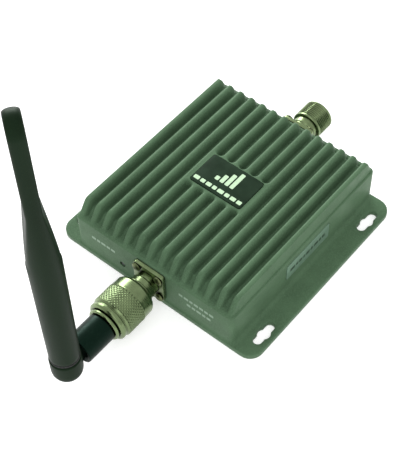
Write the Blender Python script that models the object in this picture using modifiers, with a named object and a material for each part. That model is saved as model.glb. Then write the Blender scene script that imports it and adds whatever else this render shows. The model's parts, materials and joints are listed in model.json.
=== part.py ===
"""Cellular signal booster: a finned die-cast box with two N ports and a swivel whip antenna.

X runs across the fins, Y along them (the antenna port is at -Y), Z is up.
The origin is the centre of the underside of the mounting flanges.
All sizes below are in millimetres; the meshes are built in metres.
"""

import math

import bmesh
import bpy
from mathutils import Matrix, Vector

MM = 0.001
GAP = 0.3                     # clearance left between neighbouring solids

# Casting
FLANGE_WIDTH = 117.0
FLANGE_LENGTH = 110.0
FLANGE_THICK = 3.0
FLANGE_CORNER = 7.0
WALL_X = 46.3                 # outer half width of the box walls
WALL_Y = 54.3                 # outer half length of the box walls
WALL_TOP = 22.7               # ledge round the fin block
WALL_CORNER = 2.5
WALL_EDGE = 1.2
SKIRT_FLARE = 2.4             # cast fillet where the side walls meet the flanges
CAVITY_X = 42.5
CAVITY_Y = 50.5
CAVITY_TOP = 20.3
COVER_SEAT = 3.5              # depth of the stepped recess under the box

# Fins
FIN_COUNT = 14
FIN_PITCH = 6.7
FIN_TOP_WIDTH = 2.7
FIN_TOP = 30.5
FIN_TOP_LENGTH = 95.0
FIN_FOOT_LENGTH = 106.0
FIN_REAR_REACH = 1.7           # the crests run on this much nearer to the rear wall
VALLEY_FLOOR = 25.3
VALLEY_FLOOR_WIDTH = 2.2

# Keyhole slots in the flanges: wide in the middle, narrow at both ends
KEYHOLE_X = 53.3
KEYHOLE_WIDE_Y = 40.3
KEYHOLE_REACH = 4.5            # from the wide middle to the centre of a narrow end
KEYHOLE_WIDE_R = 3.1
KEYHOLE_NARROW_R = 2.2

# Plates
LOGO_X, LOGO_Y = 14.7, 9.4
LABEL_Y, LABEL_Z = (-14.8, 17.6), (9.0, 18.8)

# Cover and circuit board
COVER_X, COVER_Y = 44.2, 52.2
COVER_THICK = 2.0
SCREW_SINK = 1.15             # depth of the sinks for the cover screws
BOSS_X, BOSS_Y, BOSS_R = 38.0, 46.2, 3.6
BOARD_X, BOARD_Y = 41.0, 42.2
BOARD_BOTTOM, BOARD_THICK = 11.0, 1.6
BOARD_TOP = BOARD_BOTTOM + BOARD_THICK
POST_X, POST_Y, POST_R = 37.0, 30.0, 2.6
PART_SEAT = BOARD_TOP + GAP   # underside of everything soldered on the board

# N connectors: distances are measured outwards from the wall face
PORT_Z = 13.5
PORT_FLANGE = 17.5
PORT_FLANGE_THICK = 2.0
PORT_SCREW_SPACING = 12.7
PORT_THREAD_R = 7.94
PORT_NECK_R = 6.1             # clears the screw heads
PORT_NECK_WIDE_R = 6.5
PORT_LENGTH = 20.0
PORT_BORE_R = 4.3

# Antenna plug: Y positions
NUT_FRONT, NUT_REAR = -64.3, -84.9
NUT_R = 10.8                          # over the knurl
NUT_NOSE_R, NUT_SHOULDER_R, NUT_TAIL_R = 10.4, 10.6, 10.2
NUT_NOSE_CHAMFER = 0.9                # off the radius at the front rim
STUB_FRONT, STUB_END, STUB_R = -87.2, -102.7, 7.25
PIN_Y = -110.2                # hinge pin and whip axis
PIN_R = 1.5
TONGUE_HALF, TONGUE_R = 2.5, 4.9
KNUCKLE_R = 7.2
KNUCKLE_DOME_Z = 10.6
KNUCKLE_TOP = 18.9
SLEEVE_BOTTOM, SHOULDER_Z, BLADE_Z, BLADE_CENTRE_Z = 20.9, 90.0, 120.5, 162.4
SLEEVE_FOOT_R, SLEEVE_R = 6.85, 7.1
BLADE_HALF = 3.3
BLADE_TURN = math.radians(54.0)

# LED and power jack on the end walls
LED_X, LED_Z = -18.1, 8.3
JACK_X, JACK_Z = -28.0, 12.5

PAINT = ("green_paint", (0.062, 0.115, 0.066), 0.45, 0.25)
NICKEL = ("nickel", (0.52, 0.54, 0.45), 0.28, 1.0)
BRASS = ("gold_plated_brass", (0.72, 0.52, 0.20), 0.3, 1.0)
STEEL = ("zinc_steel", (0.55, 0.56, 0.57), 0.35, 1.0)
BOARD = ("board_green", (0.015, 0.13, 0.05), 0.5, 0.0)
TINPLATE = ("tinplate", (0.62, 0.63, 0.64), 0.35, 1.0)
BLACK = ("black_plastic", (0.012, 0.014, 0.013), 0.5, 0.0)
CERAMIC = ("ceramic", (0.55, 0.52, 0.45), 0.6, 0.0)
PTFE = ("white_ptfe", (0.8, 0.8, 0.78), 0.5, 0.0)
RUBBER = ("black_rubber", (0.02, 0.02, 0.02), 0.8, 0.0)
PAD = ("thermal_pad", (0.45, 0.5, 0.62), 0.8, 0.0)
LENS = ("clear_lens", (0.75, 0.85, 0.75), 0.15, 0.0)
LABEL = ("dark_label", (0.02, 0.03, 0.025), 0.4, 0.0)
WHIP = ("whip_green", (0.028, 0.05, 0.028), 0.5, 0.0)


def fresh_collection(name):
    """An empty collection linked to the scene."""
    collection = bpy.data.collections.new(name)
    bpy.context.scene.collection.children.link(collection)
    return collection


for old in list(bpy.data.objects):
    bpy.data.objects.remove(old, do_unlink=True)
PARTS = fresh_collection("signal_booster")
CUTTERS = fresh_collection("cutters")


def material(spec):
    """The Principled material of one finish, made once."""
    name, colour, roughness, metallic = spec
    made = bpy.data.materials.get(name)
    if made is None:
        made = bpy.data.materials.new(name)
        made.use_nodes = True
        shader = made.node_tree.nodes["Principled BSDF"]
        shader.inputs["Base Color"].default_value = (*colour, 1.0)
        shader.inputs["Roughness"].default_value = roughness
        shader.inputs["Metallic"].default_value = metallic
        made.diffuse_color = (*colour, 1.0)
    return made


def add(name, shape, spec=None, parent=None, origin=(0.0, 0.0, 0.0), smooth=False):
    """Makes an object of a bmesh in millimetres; no finish makes it a cutter."""
    mesh = bpy.data.meshes.new(name)
    shape.transform(Matrix.Scale(MM, 4) @ Matrix.Translation(-Vector(origin)))
    bmesh.ops.recalc_face_normals(shape, faces=shape.faces)
    shape.to_mesh(mesh)
    shape.free()
    item = bpy.data.objects.new(name, mesh)
    item.location = Vector(origin) * MM
    if spec is None:
        CUTTERS.objects.link(item)
        item.hide_render = True
        item.display_type = "WIRE"
    else:
        PARTS.objects.link(item)
        mesh.materials.append(material(spec))
    if parent is not None:
        item.parent = parent
        item.location = item.location - parent.location
    if smooth:
        mesh.shade_smooth()
        mesh.set_sharp_from_angle(angle=math.radians(35))
    return item


def joint_empty(name, place):
    """An empty on a joint's axis, which its moving pieces hang from."""
    empty = bpy.data.objects.new(name, None)
    empty.location = Vector(place) * MM
    PARTS.objects.link(empty)
    return empty


def box_shape(low, high, corner=0.0, axis=2, segments=4):
    """A block between two corners, its edges along one axis rounded."""
    shape = bmesh.new()
    bmesh.ops.create_cube(shape, size=1.0)
    low, high = Vector(low), Vector(high)
    size = high - low
    shape.transform(Matrix.Translation((low + high) / 2) @ Matrix.Diagonal((*size, 1.0)))
    if corner:
        edges = [e for e in shape.edges
                 if abs((e.verts[0].co - e.verts[1].co)[axis]) > 0.9 * size[axis]]
        bmesh.ops.bevel(shape, geom=edges, offset=corner, segments=segments,
                        profile=0.5, affect="EDGES")
    return shape


def frustum_shape(foot, top, low_z, high_z, corner=0.0, edge=0.0):
    """A block with flared walls: half sizes (x, y) at its foot and its top."""
    shape = bmesh.new()
    bmesh.ops.create_cube(shape, size=2.0)
    for vert in shape.verts:
        half = top if vert.co.z > 0 else foot
        vert.co = Vector((vert.co.x * half[0], vert.co.y * half[1],
                          high_z if vert.co.z > 0 else low_z))
    if corner:
        upright = [e for e in shape.edges
                   if abs(e.verts[0].co.z - e.verts[1].co.z) > 0.9 * (high_z - low_z)]
        bmesh.ops.bevel(shape, geom=upright, offset=corner, segments=3,
                        profile=0.5, affect="EDGES")
    if edge:
        rim = [e for e in shape.edges
               if all(v.co.z > high_z - 1e-4 for v in e.verts)]
        bmesh.ops.bevel(shape, geom=rim, offset=edge, segments=2,
                        profile=0.5, affect="EDGES")
    return shape


def rod_shape(centre, axis, radius, length, segments=24, end_radius=None):
    """A cylinder or cone centred on a point, along an axis."""
    shape = bmesh.new()
    turn = Vector((0, 0, 1)).rotation_difference(Vector(axis)).to_matrix().to_4x4()
    bmesh.ops.create_cone(shape, cap_ends=True, segments=segments, radius1=radius,
                          radius2=radius if end_radius is None else end_radius,
                          depth=length, matrix=Matrix.Translation(centre) @ turn)
    return shape


def turned(name, profile, base, axis, spec, steps=32, parent=None, closed=False):
    """A solid of revolution: (radius, height) points down its outer side, top first.

    base is the point of the axis at height 0, and axis points towards growing height.
    """
    mesh = bpy.data.meshes.new(name)
    count = len(profile)
    edges = [(i, i + 1) for i in range(count - 1)] + ([(count - 1, 0)] if closed else [])
    mesh.from_pydata([(r * MM, 0.0, h * MM) for r, h in profile], edges, [])
    item = bpy.data.objects.new(name, mesh)
    item.location = Vector(base) * MM
    item.rotation_mode = "QUATERNION"
    item.rotation_quaternion = Vector((0, 0, 1)).rotation_difference(Vector(axis))
    screw = item.modifiers.new("turn", "SCREW")
    screw.steps = screw.render_steps = steps
    screw.use_merge_vertices = True
    screw.merge_threshold = 0.00001
    screw.use_smooth_shade = True
    if spec is None:
        CUTTERS.objects.link(item)
        item.hide_render = True
        item.display_type = "WIRE"
    else:
        PARTS.objects.link(item)
        mesh.materials.append(material(spec))
    if parent is not None:
        item.parent = parent
        item.location = item.location - parent.location
    return item


def combine(item, tool, operation="DIFFERENCE"):
    """Adds a live exact Boolean."""
    step = item.modifiers.new(tool.name, "BOOLEAN")
    step.object = tool
    step.operation = operation
    step.solver = "EXACT"


def cut(item, shape, label):
    """Cuts a bmesh shape out of an object."""
    combine(item, add(f"{item.name}_{label}", shape))


def join(item, shape, label):
    """Joins a bmesh shape to an object."""
    combine(item, add(f"{item.name}_{label}", shape), "UNION")


def valley_shape(x):
    """The prism between two fins, with a rounded floor."""
    top_half = (FIN_PITCH - FIN_TOP_WIDTH) / 2
    floor_half = VALLEY_FLOOR_WIDTH / 2
    depth = FIN_TOP - VALLEY_FLOOR
    length = FIN_FOOT_LENGTH + 10
    shape = bmesh.new()
    bmesh.ops.create_cube(shape, size=2.0)
    over = 2.0
    slope = (top_half - floor_half) / depth
    for vert in shape.verts:
        high = vert.co.z > 0
        half = top_half + slope * over if high else floor_half
        vert.co = Vector((x + vert.co.x * half, vert.co.y * length / 2,
                          FIN_TOP + over if high else VALLEY_FLOOR))
    floor_edges = [e for e in shape.edges
                   if all(v.co.z < VALLEY_FLOOR + 0.01 for v in e.verts)
                   and abs(e.verts[0].co.y - e.verts[1].co.y) > length / 2]
    bmesh.ops.bevel(shape, geom=floor_edges, offset=0.8, segments=2,
                    profile=0.5, affect="EDGES")
    return shape


def keyhole_shapes(side, end):
    """The overlapping prisms of one double-ended keyhole slot."""
    x, middle = side * KEYHOLE_X, end * KEYHOLE_WIDE_Y
    low, high = middle - KEYHOLE_REACH, middle + KEYHOLE_REACH
    mid_z, deep = FLANGE_THICK / 2, FLANGE_THICK + 6
    return (
        rod_shape((x, middle, mid_z), (0, 0, 1), KEYHOLE_WIDE_R, deep, 20),
        rod_shape((x, low, mid_z), (0, 0, 1), KEYHOLE_NARROW_R, deep, 16),
        rod_shape((x, high, mid_z), (0, 0, 1), KEYHOLE_NARROW_R, deep, 16),
        box_shape((x - KEYHOLE_NARROW_R, low, mid_z - deep / 2),
                  (x + KEYHOLE_NARROW_R, high, mid_z + deep / 2)),
    )


def finned_housing():
    """The die-cast box: flanges, walls, fins, and the bosses inside."""
    half_w, half_l = FLANGE_WIDTH / 2, FLANGE_LENGTH / 2
    plate = box_shape((-half_w, -half_l, 0), (half_w, half_l, FLANGE_THICK),
                      FLANGE_CORNER, segments=6)
    item = add("finned_housing", plate, PAINT)
    join(item, frustum_shape((WALL_X, WALL_Y), (WALL_X, WALL_Y), 1.0, WALL_TOP,
                             WALL_CORNER, WALL_EDGE), "walls")
    flare = SKIRT_FLARE + 1.0
    join(item, frustum_shape((WALL_X + flare, WALL_Y - 0.5), (WALL_X - 1.0, WALL_Y - 0.5),
                             FLANGE_THICK - 1.0, FLANGE_THICK + flare), "skirt")
    fins_half = (FIN_COUNT - 1) / 2 * FIN_PITCH + FIN_TOP_WIDTH / 2
    run = (FIN_FOOT_LENGTH - FIN_TOP_LENGTH) / 2
    sink = 1.0
    grow = run * sink / (FIN_TOP - WALL_TOP)
    block = frustum_shape((fins_half + 0.4, FIN_FOOT_LENGTH / 2 + grow),
                          (fins_half, FIN_TOP_LENGTH / 2), WALL_TOP - sink, FIN_TOP)
    for vert in block.verts:
        if vert.co.y > 0 and vert.co.z > WALL_TOP:
            vert.co.y += FIN_REAR_REACH
    join(item, block, "fin_block")
    for index in range(FIN_COUNT - 1):
        cut(item, valley_shape((index - (FIN_COUNT - 2) / 2) * FIN_PITCH), f"valley_{index + 1}")
    pad_x = 2.5 * FIN_PITCH - FIN_TOP_WIDTH / 2 + 0.2
    join(item, box_shape((-pad_x, -LOGO_Y - 1.0, VALLEY_FLOOR - 1.0),
                         (pad_x, LOGO_Y + 1.0, FIN_TOP)), "logo_pad")
    cut(item, box_shape((-LOGO_X - GAP, -LOGO_Y - GAP, FIN_TOP - 0.6),
                        (LOGO_X + GAP, LOGO_Y + GAP, FIN_TOP + 2), 1.3), "logo_recess")
    cut(item, box_shape((WALL_X - 0.6, LABEL_Y[0] - GAP, LABEL_Z[0] - GAP),
                        (WALL_X + 2, LABEL_Y[1] + GAP, LABEL_Z[1] + GAP), 1.0, axis=0), "label_recess")
    cut(item, box_shape((-CAVITY_X, -CAVITY_Y, -1), (CAVITY_X, CAVITY_Y, CAVITY_TOP),
                        2.0, segments=2), "cavity")
    cut(item, box_shape((-COVER_X - GAP, -COVER_Y - GAP, -1),
                        (COVER_X + GAP, COVER_Y + GAP, COVER_SEAT), 3.0, segments=3), "cover_seat")
    for side in (-1, 1):
        for end in (-1, 1):
            tag = f"{side + 1}{end + 1}"
            for number, shape in enumerate(keyhole_shapes(side, end)):
                cut(item, shape, f"keyhole_{tag}_{number}")
            boss_low = COVER_THICK + GAP
            boss_high = CAVITY_TOP + 1.0
            join(item, rod_shape((side * BOSS_X, end * BOSS_Y, (boss_low + boss_high) / 2),
                                 (0, 0, 1), BOSS_R, boss_high - boss_low, 14), f"boss_{tag}")
            cut(item, rod_shape((side * BOSS_X, end * BOSS_Y, 7.0), (0, 0, 1), 1.65, 12.0, 10),
                f"boss_hole_{tag}")
            post_low = BOARD_TOP + GAP
            join(item, rod_shape((side * POST_X, end * POST_Y, (post_low + boss_high) / 2),
                                 (0, 0, 1), POST_R, boss_high - post_low, 12), f"post_{tag}")
            cut(item, rod_shape((side * POST_X, end * POST_Y, 14.5), (0, 0, 1), 1.3, 8.0, 10),
                f"post_hole_{tag}")
    for end in (-1, 1):
        cut(item, rod_shape((0, end * WALL_Y, PORT_Z), (0, 1, 0), 5.8, 12.0, 20), f"port_hole_{end + 1}")
        for dx, dz in port_screw_places():
            cut(item, rod_shape((dx, end * WALL_Y, PORT_Z + dz), (0, 1, 0), 1.65, 12.0, 10),
                f"port_screw_{end + 1}_{dx:.0f}_{dz:.0f}")
    cut(item, rod_shape((LED_X, -WALL_Y, LED_Z), (0, 1, 0), 1.75, 12.0, 16), "led_hole")
    cut(item, rod_shape((JACK_X, WALL_Y, JACK_Z), (0, 1, 0), 4.3, 12.0, 20), "jack_hole")
    return item


def port_screw_places():
    """Offsets of a port's four screws from its axis."""
    half = PORT_SCREW_SPACING / 2
    return [(dx, dz) for dz in (half, -half) for dx in (-half, half)]


def screw(name, base, axis, head_r, head_h, shank_r, length, parent=None):
    """A pan-head screw; base is under the head and axis points out of the head."""
    profile = [(0.0, head_h), (head_r * 0.6, head_h), (head_r, head_h * 0.45), (head_r, 0.0),
               (shank_r, 0.0), (shank_r, -length + 0.5), (shank_r * 0.6, -length), (0.0, -length)]
    return turned(name, profile, base, axis, STEEL, steps=12, parent=parent)


def bottom_cover():
    """The flat cover in the recess under the box, its gasket and its screws."""
    top = COVER_THICK
    item = add("bottom_cover", box_shape((-COVER_X, -COVER_Y, 0), (COVER_X, COVER_Y, top), 2.7,
                                         segments=3), PAINT)
    number = 0
    for side in (-1, 1):
        for end in (-1, 1):
            number += 1
            x, y = side * BOSS_X, end * BOSS_Y
            cut(item, rod_shape((x, y, 1.4), (0, 0, 1), 1.65, 6.0, 12), f"hole_{number}")
            cut(item, rod_shape((x, y, 0), (0, 0, 1), 3.1, 2 * SCREW_SINK, 16), f"sink_{number}")
            screw(f"cover_screw_{number}", (x, y, SCREW_SINK - GAP), (0, 0, -1), 2.7, 0.7, 1.35, 9.0)
    ring = add("cover_gasket", box_shape((-COVER_X, -COVER_Y, top + GAP),
                                         (COVER_X, COVER_Y, COVER_SEAT - GAP), 2.7, segments=3), RUBBER)
    cut(ring, box_shape((-COVER_X + 1.2, -COVER_Y + 1.2, 0), (COVER_X - 1.2, COVER_Y - 1.2, 9),
                        1.5, segments=3), "inside")


def circuit_board():
    """The board and its four screws, which come up from below."""
    item = add("circuit_board", box_shape((-BOARD_X, -BOARD_Y, BOARD_BOTTOM),
                                          (BOARD_X, BOARD_Y, BOARD_TOP)), BOARD)
    number = 0
    for side in (-1, 1):
        for end in (-1, 1):
            number += 1
            x, y = side * POST_X, end * POST_Y
            cut(item, rod_shape((x, y, BOARD_BOTTOM), (0, 0, 1), 1.3, 6.0, 12), f"hole_{number}")
            screw(f"board_screw_{number}", (x, y, BOARD_BOTTOM - GAP), (0, 0, -1), 2.2, 1.4, 1.0, 6.0)


def on_board(name, x, y, size, spec, corner=0.0):
    """A block soldered on top of the board."""
    half_x, half_y = size[0] / 2, size[1] / 2
    return add(name, box_shape((x - half_x, y - half_y, PART_SEAT),
                               (x + half_x, y + half_y, PART_SEAT + size[2]), corner, segments=2), spec)


def shield_can(name, x, y, size):
    """A folded tin lid over a circuit block, open towards the board."""
    wall = 0.6
    item = on_board(name, x, y, size, TINPLATE, 0.8)
    half_x, half_y = size[0] / 2 - wall, size[1] / 2 - wall
    cut(item, box_shape((x - half_x, y - half_y, PART_SEAT - 1),
                        (x + half_x, y + half_y, PART_SEAT + size[2] - wall)), "inside")


def electronics():
    """Everything that the board carries."""
    for name, side in (("uplink", -1), ("downlink", 1)):
        module = (20.0, 13.0, 4.6)
        on_board(f"{name}_power_amplifier", side * 19.0, 6.0, module, BLACK)
        low = PART_SEAT + module[2] + GAP
        add(f"{name}_thermal_pad",
            box_shape((side * 19.0 - 9.5, 0.0, low), (side * 19.0 + 9.5, 12.0, CAVITY_TOP - GAP)), PAD)
        shield_can(f"{name}_shield_can", side * 20.0, -14.0, (27.0, 19.0, 4.2))
    on_board("indoor_duplexer", 0.0, -31.5, (26.0, 11.0, 5.5), CERAMIC)
    on_board("outdoor_duplexer", 0.0, 31.5, (26.0, 11.0, 5.5), CERAMIC)
    on_board("microcontroller", 0.0, -14.0, (9.0, 9.0, 1.2), BLACK)
    on_board("voltage_regulator", 24.0, 27.0, (10.0, 9.0, 4.4), BLACK)
    for number, x in ((1, -32.0), (2, -24.0)):
        turned(f"filter_capacitor_{number}", [(0, 6.6), (2.7, 6.6), (3.1, 6.2), (3.1, 0.0), (0, 0.0)],
               (x, 22.0, PART_SEAT), (0, 0, 1), TINPLATE, steps=16)
    turned("power_inductor", [(0, 4.2), (4.0, 4.2), (4.4, 3.6), (4.4, 0.5), (4.0, 0.0), (0, 0.0)],
           (33.0, 19.0, PART_SEAT), (0, 0, 1), BLACK, steps=16)


def status_light():
    """The LED under the board edge and the clear pipe to the front wall."""
    low_z = LED_Z - 1.6
    add("status_led", box_shape((LED_X - 1.6, -BOARD_Y, low_z),
                                (LED_X + 1.6, -BOARD_Y + 3.2, BOARD_BOTTOM - GAP)), LENS)
    reach = WALL_Y - BOARD_Y - GAP
    turned("led_light_pipe",
           [(0, reach - 0.4), (1.1, reach - 0.4), (1.45, reach - 0.7), (1.45, 7.2), (2.3, 7.2),
            (2.3, 6.2), (1.45, 6.2), (1.45, 0.0), (0, 0.0)],
           (LED_X, -BOARD_Y - GAP, LED_Z), (0, -1, 0), LENS, steps=16)


def plates():
    """The badge on the fins and the label on the side wall."""
    add("badge_plate", box_shape((-LOGO_X, -LOGO_Y, FIN_TOP - GAP), (LOGO_X, LOGO_Y, FIN_TOP + 0.4), 1.0),
        LABEL)
    add("side_label_plate", box_shape((WALL_X - GAP, LABEL_Y[0], LABEL_Z[0]),
                                      (WALL_X + 0.2, LABEL_Y[1], LABEL_Z[1]), 0.7, axis=0), LABEL)


def power_jack():
    """The panel jack on the rear wall, its pin and its nut."""
    base = (JACK_X, WALL_Y, JACK_Z)
    inside = WALL_Y - CAVITY_Y + GAP
    turned("power_jack",
           [(3.6, 3.2), (4.0, 2.8), (4.0, -inside), (5.4, -inside), (5.4, -8.0), (2.9, -8.0), (2.9, 3.2)],
           base, (0, 1, 0), BLACK, steps=24, closed=True)
    turned("power_jack_pin", [(0, 1.5), (0.7, 1.5), (1.0, 1.0), (1.0, -9.0), (0, -9.0)],
           base, (0, 1, 0), NICKEL, steps=12)
    nut = add("power_jack_nut", rod_shape((JACK_X, WALL_Y + 1.2, JACK_Z), (0, 1, 0), 6.2, 1.8, 6), NICKEL)
    cut(nut, rod_shape((JACK_X, WALL_Y + 1.2, JACK_Z), (0, 1, 0), 4.3, 6.0, 24), "hole")


def n_port(name, end):
    """A panel N socket: body with a square flange, insulator, contact and screws."""
    base, out = (0, end * WALL_Y, PORT_Z), (0, end, 0)
    front = GAP + PORT_FLANGE_THICK
    r = PORT_THREAD_R
    body = turned(f"{name}_body",
                  [(0, PORT_LENGTH), (r - 0.5, PORT_LENGTH), (r, PORT_LENGTH - 0.5), (r, 8.9),
                   (r - 0.4, 8.5), (PORT_NECK_WIDE_R, 8.5), (PORT_NECK_WIDE_R, 5.4), (PORT_NECK_R, 5.0),
                   (PORT_NECK_R, 1.0), (5.5, 1.0), (5.5, -6.0), (0, -6.0)],
                  base, out, NICKEL, steps=32)
    half = PORT_FLANGE / 2
    near, far = sorted((end * (WALL_Y + GAP), end * (WALL_Y + front)))
    join(body, box_shape((-half, near, PORT_Z - half), (half, far, PORT_Z + half), 1.6, axis=1, segments=3),
         "flange")
    cut(body, rod_shape((0, end * (WALL_Y + 17.3), PORT_Z), (0, 1, 0), PORT_BORE_R, 16.0, 24), "mouth")
    cut(body, rod_shape((0, end * (WALL_Y + 4.0), PORT_Z), (0, 1, 0), 3.9, 30.0, 24), "bore")
    for number, (dx, dz) in enumerate(port_screw_places(), start=1):
        place = (dx, end * (WALL_Y + front + GAP), PORT_Z + dz)
        cut(body, rod_shape(place, (0, 1, 0), 1.65, 8.0, 12), f"screw_hole_{number}")
        screw(f"{name}_screw_{number}", place, out, 2.3, 1.2, 1.35, 8.0)
    turned(f"{name}_insulator", [(3.6, 9.0), (3.6, -6.8), (1.8, -6.8), (1.8, 9.0)],
           base, out, PTFE, steps=20, closed=True)
    turned(f"{name}_contact",
           [(0, 10.8), (1.1, 10.8), (1.1, 16.3), (1.5, 15.9), (1.5, -8.0), (0.9, -8.0), (0.9, -14.0),
            (0, -14.0)],
           base, out, BRASS, steps=14)


def antenna_plug(joint, nut_joint):
    """The N plug that carries the antenna: nut, body, insulator, pin and gasket."""
    axis_point, out = (0, 0, PORT_Z), (0, -1, 0)
    turned("coupling_nut",
           [(NUT_TAIL_R - 0.8, -NUT_REAR), (NUT_TAIL_R, -NUT_REAR - 0.8), (NUT_TAIL_R, 81.4),
            (NUT_R, 80.8), (NUT_R, 71.2), (NUT_SHOULDER_R, 70.6), (NUT_NOSE_R, -NUT_FRONT + 1.4),
            (NUT_NOSE_R - NUT_NOSE_CHAMFER, -NUT_FRONT), (8.25, -NUT_FRONT), (8.25, 76.8), (6.9, 76.8),
            (6.9, -NUT_REAR)],
           axis_point, out, NICKEL, steps=36, parent=nut_joint, closed=True)
    turned("plug_body",
           [(4.5, 92.0), (4.5, 86.9), (8.0, 86.9), (8.4, 86.5), (8.4, 85.5), (8.1, 85.2), (6.6, 85.2),
            (6.6, 76.5), (7.7, 76.5), (7.7, 75.4), (4.0, 75.4), (4.0, 66.7), (3.3, 66.7), (3.3, 92.0)],
           axis_point, out, NICKEL, steps=32, parent=joint, closed=True)
    turned("plug_gasket", [(7.5, 75.1), (7.5, 74.6), (4.4, 74.6), (4.4, 75.1)],
           axis_point, out, RUBBER, steps=24, parent=joint, closed=True)
    turned("plug_insulator", [(3.0, 91.0), (3.0, 72.9), (1.1, 72.9), (1.1, 91.0)],
           axis_point, out, PTFE, steps=18, parent=joint, closed=True)
    turned("plug_pin", [(0, 92.5), (0.8, 92.5), (0.8, 66.3), (0.4, 65.7), (0, 65.7)],
           axis_point, out, BRASS, steps=12, parent=joint)


def elbow(joint):
    """The black stub, dished for the swing of the knuckle, its hinge tongue and the hinge pin."""
    stub = turned("elbow_stub",
                  [(0, -STUB_END), (STUB_R - 0.4, -STUB_END), (STUB_R, -STUB_END - 0.4),
                   (STUB_R, -STUB_FRONT + 0.4), (STUB_R - 0.4, -STUB_FRONT), (0, -STUB_FRONT)],
                  (0, 0, PORT_Z), (0, -1, 0), RUBBER, steps=32, parent=joint)
    swing, ball = PORT_Z - KNUCKLE_DOME_Z, KNUCKLE_R + GAP
    bulge = [(swing + ball * math.sin(a), ball * math.cos(a))
             for a in (math.radians(step * 15) for step in range(1, 12))]
    combine(stub, turned("elbow_stub_dish",
                         [(0, ball), (swing, ball)] + bulge + [(swing, -ball), (0, -ball)],
                         (0, PIN_Y, PORT_Z), (1, 0, 0), None, steps=36))
    join(stub, box_shape((-TONGUE_HALF, PIN_Y, PORT_Z - TONGUE_R),
                         (TONGUE_HALF, STUB_END + 4.5, PORT_Z + TONGUE_R)), "tongue")
    join(stub, rod_shape((0, PIN_Y, PORT_Z), (1, 0, 0), TONGUE_R, 2 * TONGUE_HALF, 32), "tongue_end")
    cut(stub, rod_shape((0, STUB_FRONT, PORT_Z), (0, 1, 0), 4.8, 12.0, 20), "socket")
    cut(stub, rod_shape((0, PIN_Y, PORT_Z), (1, 0, 0), PIN_R + GAP, 20.0, 16), "pin_hole")
    add("hinge_pin", rod_shape((0, PIN_Y, PORT_Z), (1, 0, 0), PIN_R, 12.0, 16), STEEL, parent=joint,
        origin=(0, PIN_Y, PORT_Z), smooth=True)


def knuckle(joint):
    """The domed foot of the whip, slotted for the stub's tongue."""
    dome = [(KNUCKLE_R * math.cos(a), KNUCKLE_DOME_Z - KNUCKLE_R * math.sin(a))
            for a in (math.radians(step * 15) for step in range(0, 7))]
    dome[-1] = (0.0, KNUCKLE_DOME_Z - KNUCKLE_R)
    profile = [(0, 31.0), (5.0, 31.0), (5.3, 30.6), (5.3, 20.6), (5.9, 20.6), (5.9, KNUCKLE_TOP),
               (KNUCKLE_R - 0.3, KNUCKLE_TOP), (KNUCKLE_R, KNUCKLE_TOP - 0.3)] + dome
    foot = turned("whip_knuckle", profile, (0, PIN_Y, 0), (0, 0, 1), WHIP, steps=36, parent=joint)
    half = TONGUE_HALF + GAP
    reach = TONGUE_R + 0.4
    cut(foot, box_shape((-half, PIN_Y - reach, -2), (half, PIN_Y + 12, PORT_Z + reach)), "slot")
    cut(foot, rod_shape((0, PIN_Y, PORT_Z), (1, 0, 0), PIN_R + GAP, 12.6, 16), "pin_hole")
    turned("collar_ring", [(6.5, 20.6), (6.8, 20.3), (6.8, 19.5), (6.5, 19.2), (6.2, 19.2), (6.2, 20.6)],
           (0, PIN_Y, 0), (0, 0, 1), RUBBER, steps=32, parent=joint, closed=True)


def whip(joint):
    """The moulded sleeve, round below and flattened to a blade above, and its radiator."""
    crown = [(SLEEVE_R * math.cos(a), BLADE_CENTRE_Z + SLEEVE_R * math.sin(a))
             for a in (math.radians(step * 15) for step in range(6, -1, -1))]
    crown[0] = (0.0, BLADE_CENTRE_Z + SLEEVE_R)
    profile = crown + [(SLEEVE_R, SHOULDER_Z), (SLEEVE_FOOT_R, SLEEVE_BOTTOM + 0.3),
                       (SLEEVE_FOOT_R - 0.3, SLEEVE_BOTTOM), (0, SLEEVE_BOTTOM)]
    sleeve = turned("antenna_sleeve", profile, (0, PIN_Y, 0), (0, 0, 1), WHIP, steps=36, parent=joint)
    turn = Matrix.Translation((0, PIN_Y, 0)) @ Matrix.Rotation(BLADE_TURN, 4, "Z")
    rise = BLADE_Z - SHOULDER_Z
    lean = (SLEEVE_R - BLADE_HALF) / rise
    for side in (-1, 1):
        high = box_shape((BLADE_HALF, -12, BLADE_Z), (20, 12, 190))
        low = box_shape((0, -12, SHOULDER_Z - 10), (20, 12, BLADE_Z))
        for vert in low.verts:
            if vert.co.x < 10:
                vert.co.x = BLADE_HALF + lean * (BLADE_Z - vert.co.z)
        for label, shape in (("blade", high), ("taper", low)):
            shape.transform(turn @ Matrix.Rotation(math.pi if side < 0 else 0.0, 4, "Z"))
            cut(sleeve, shape, f"{label}_{side + 1}")
    cut(sleeve, rod_shape((0, PIN_Y, 50.0), (0, 0, 1), 5.6, 64.0, 28), "socket")
    cut(sleeve, rod_shape((0, PIN_Y, 108.0), (0, 0, 1), 2.2, 96.0, 16), "channel")
    turned("radiating_element",
           [(0, 152.0), (1.5, 152.0), (1.5, 78.0), (4.6, 78.0), (4.6, 33.0), (0, 33.0)],
           (0, PIN_Y, 0), (0, 0, 1), BRASS, steps=18, parent=joint)


def main():
    finned_housing()
    bottom_cover()
    circuit_board()
    electronics()
    status_light()
    plates()
    power_jack()
    n_port("indoor_port", -1)
    n_port("outdoor_port", 1)
    nut_joint = joint_empty("nut_axis", (0, NUT_FRONT, PORT_Z))
    base_joint = joint_empty("antenna_base_axis", (0, STUB_FRONT, PORT_Z))
    tilt_joint = joint_empty("whip_tilt_axis", (0, PIN_Y, PORT_Z))
    antenna_plug(base_joint, nut_joint)
    elbow(base_joint)
    knuckle(tilt_joint)
    whip(tilt_joint)


main()
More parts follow.
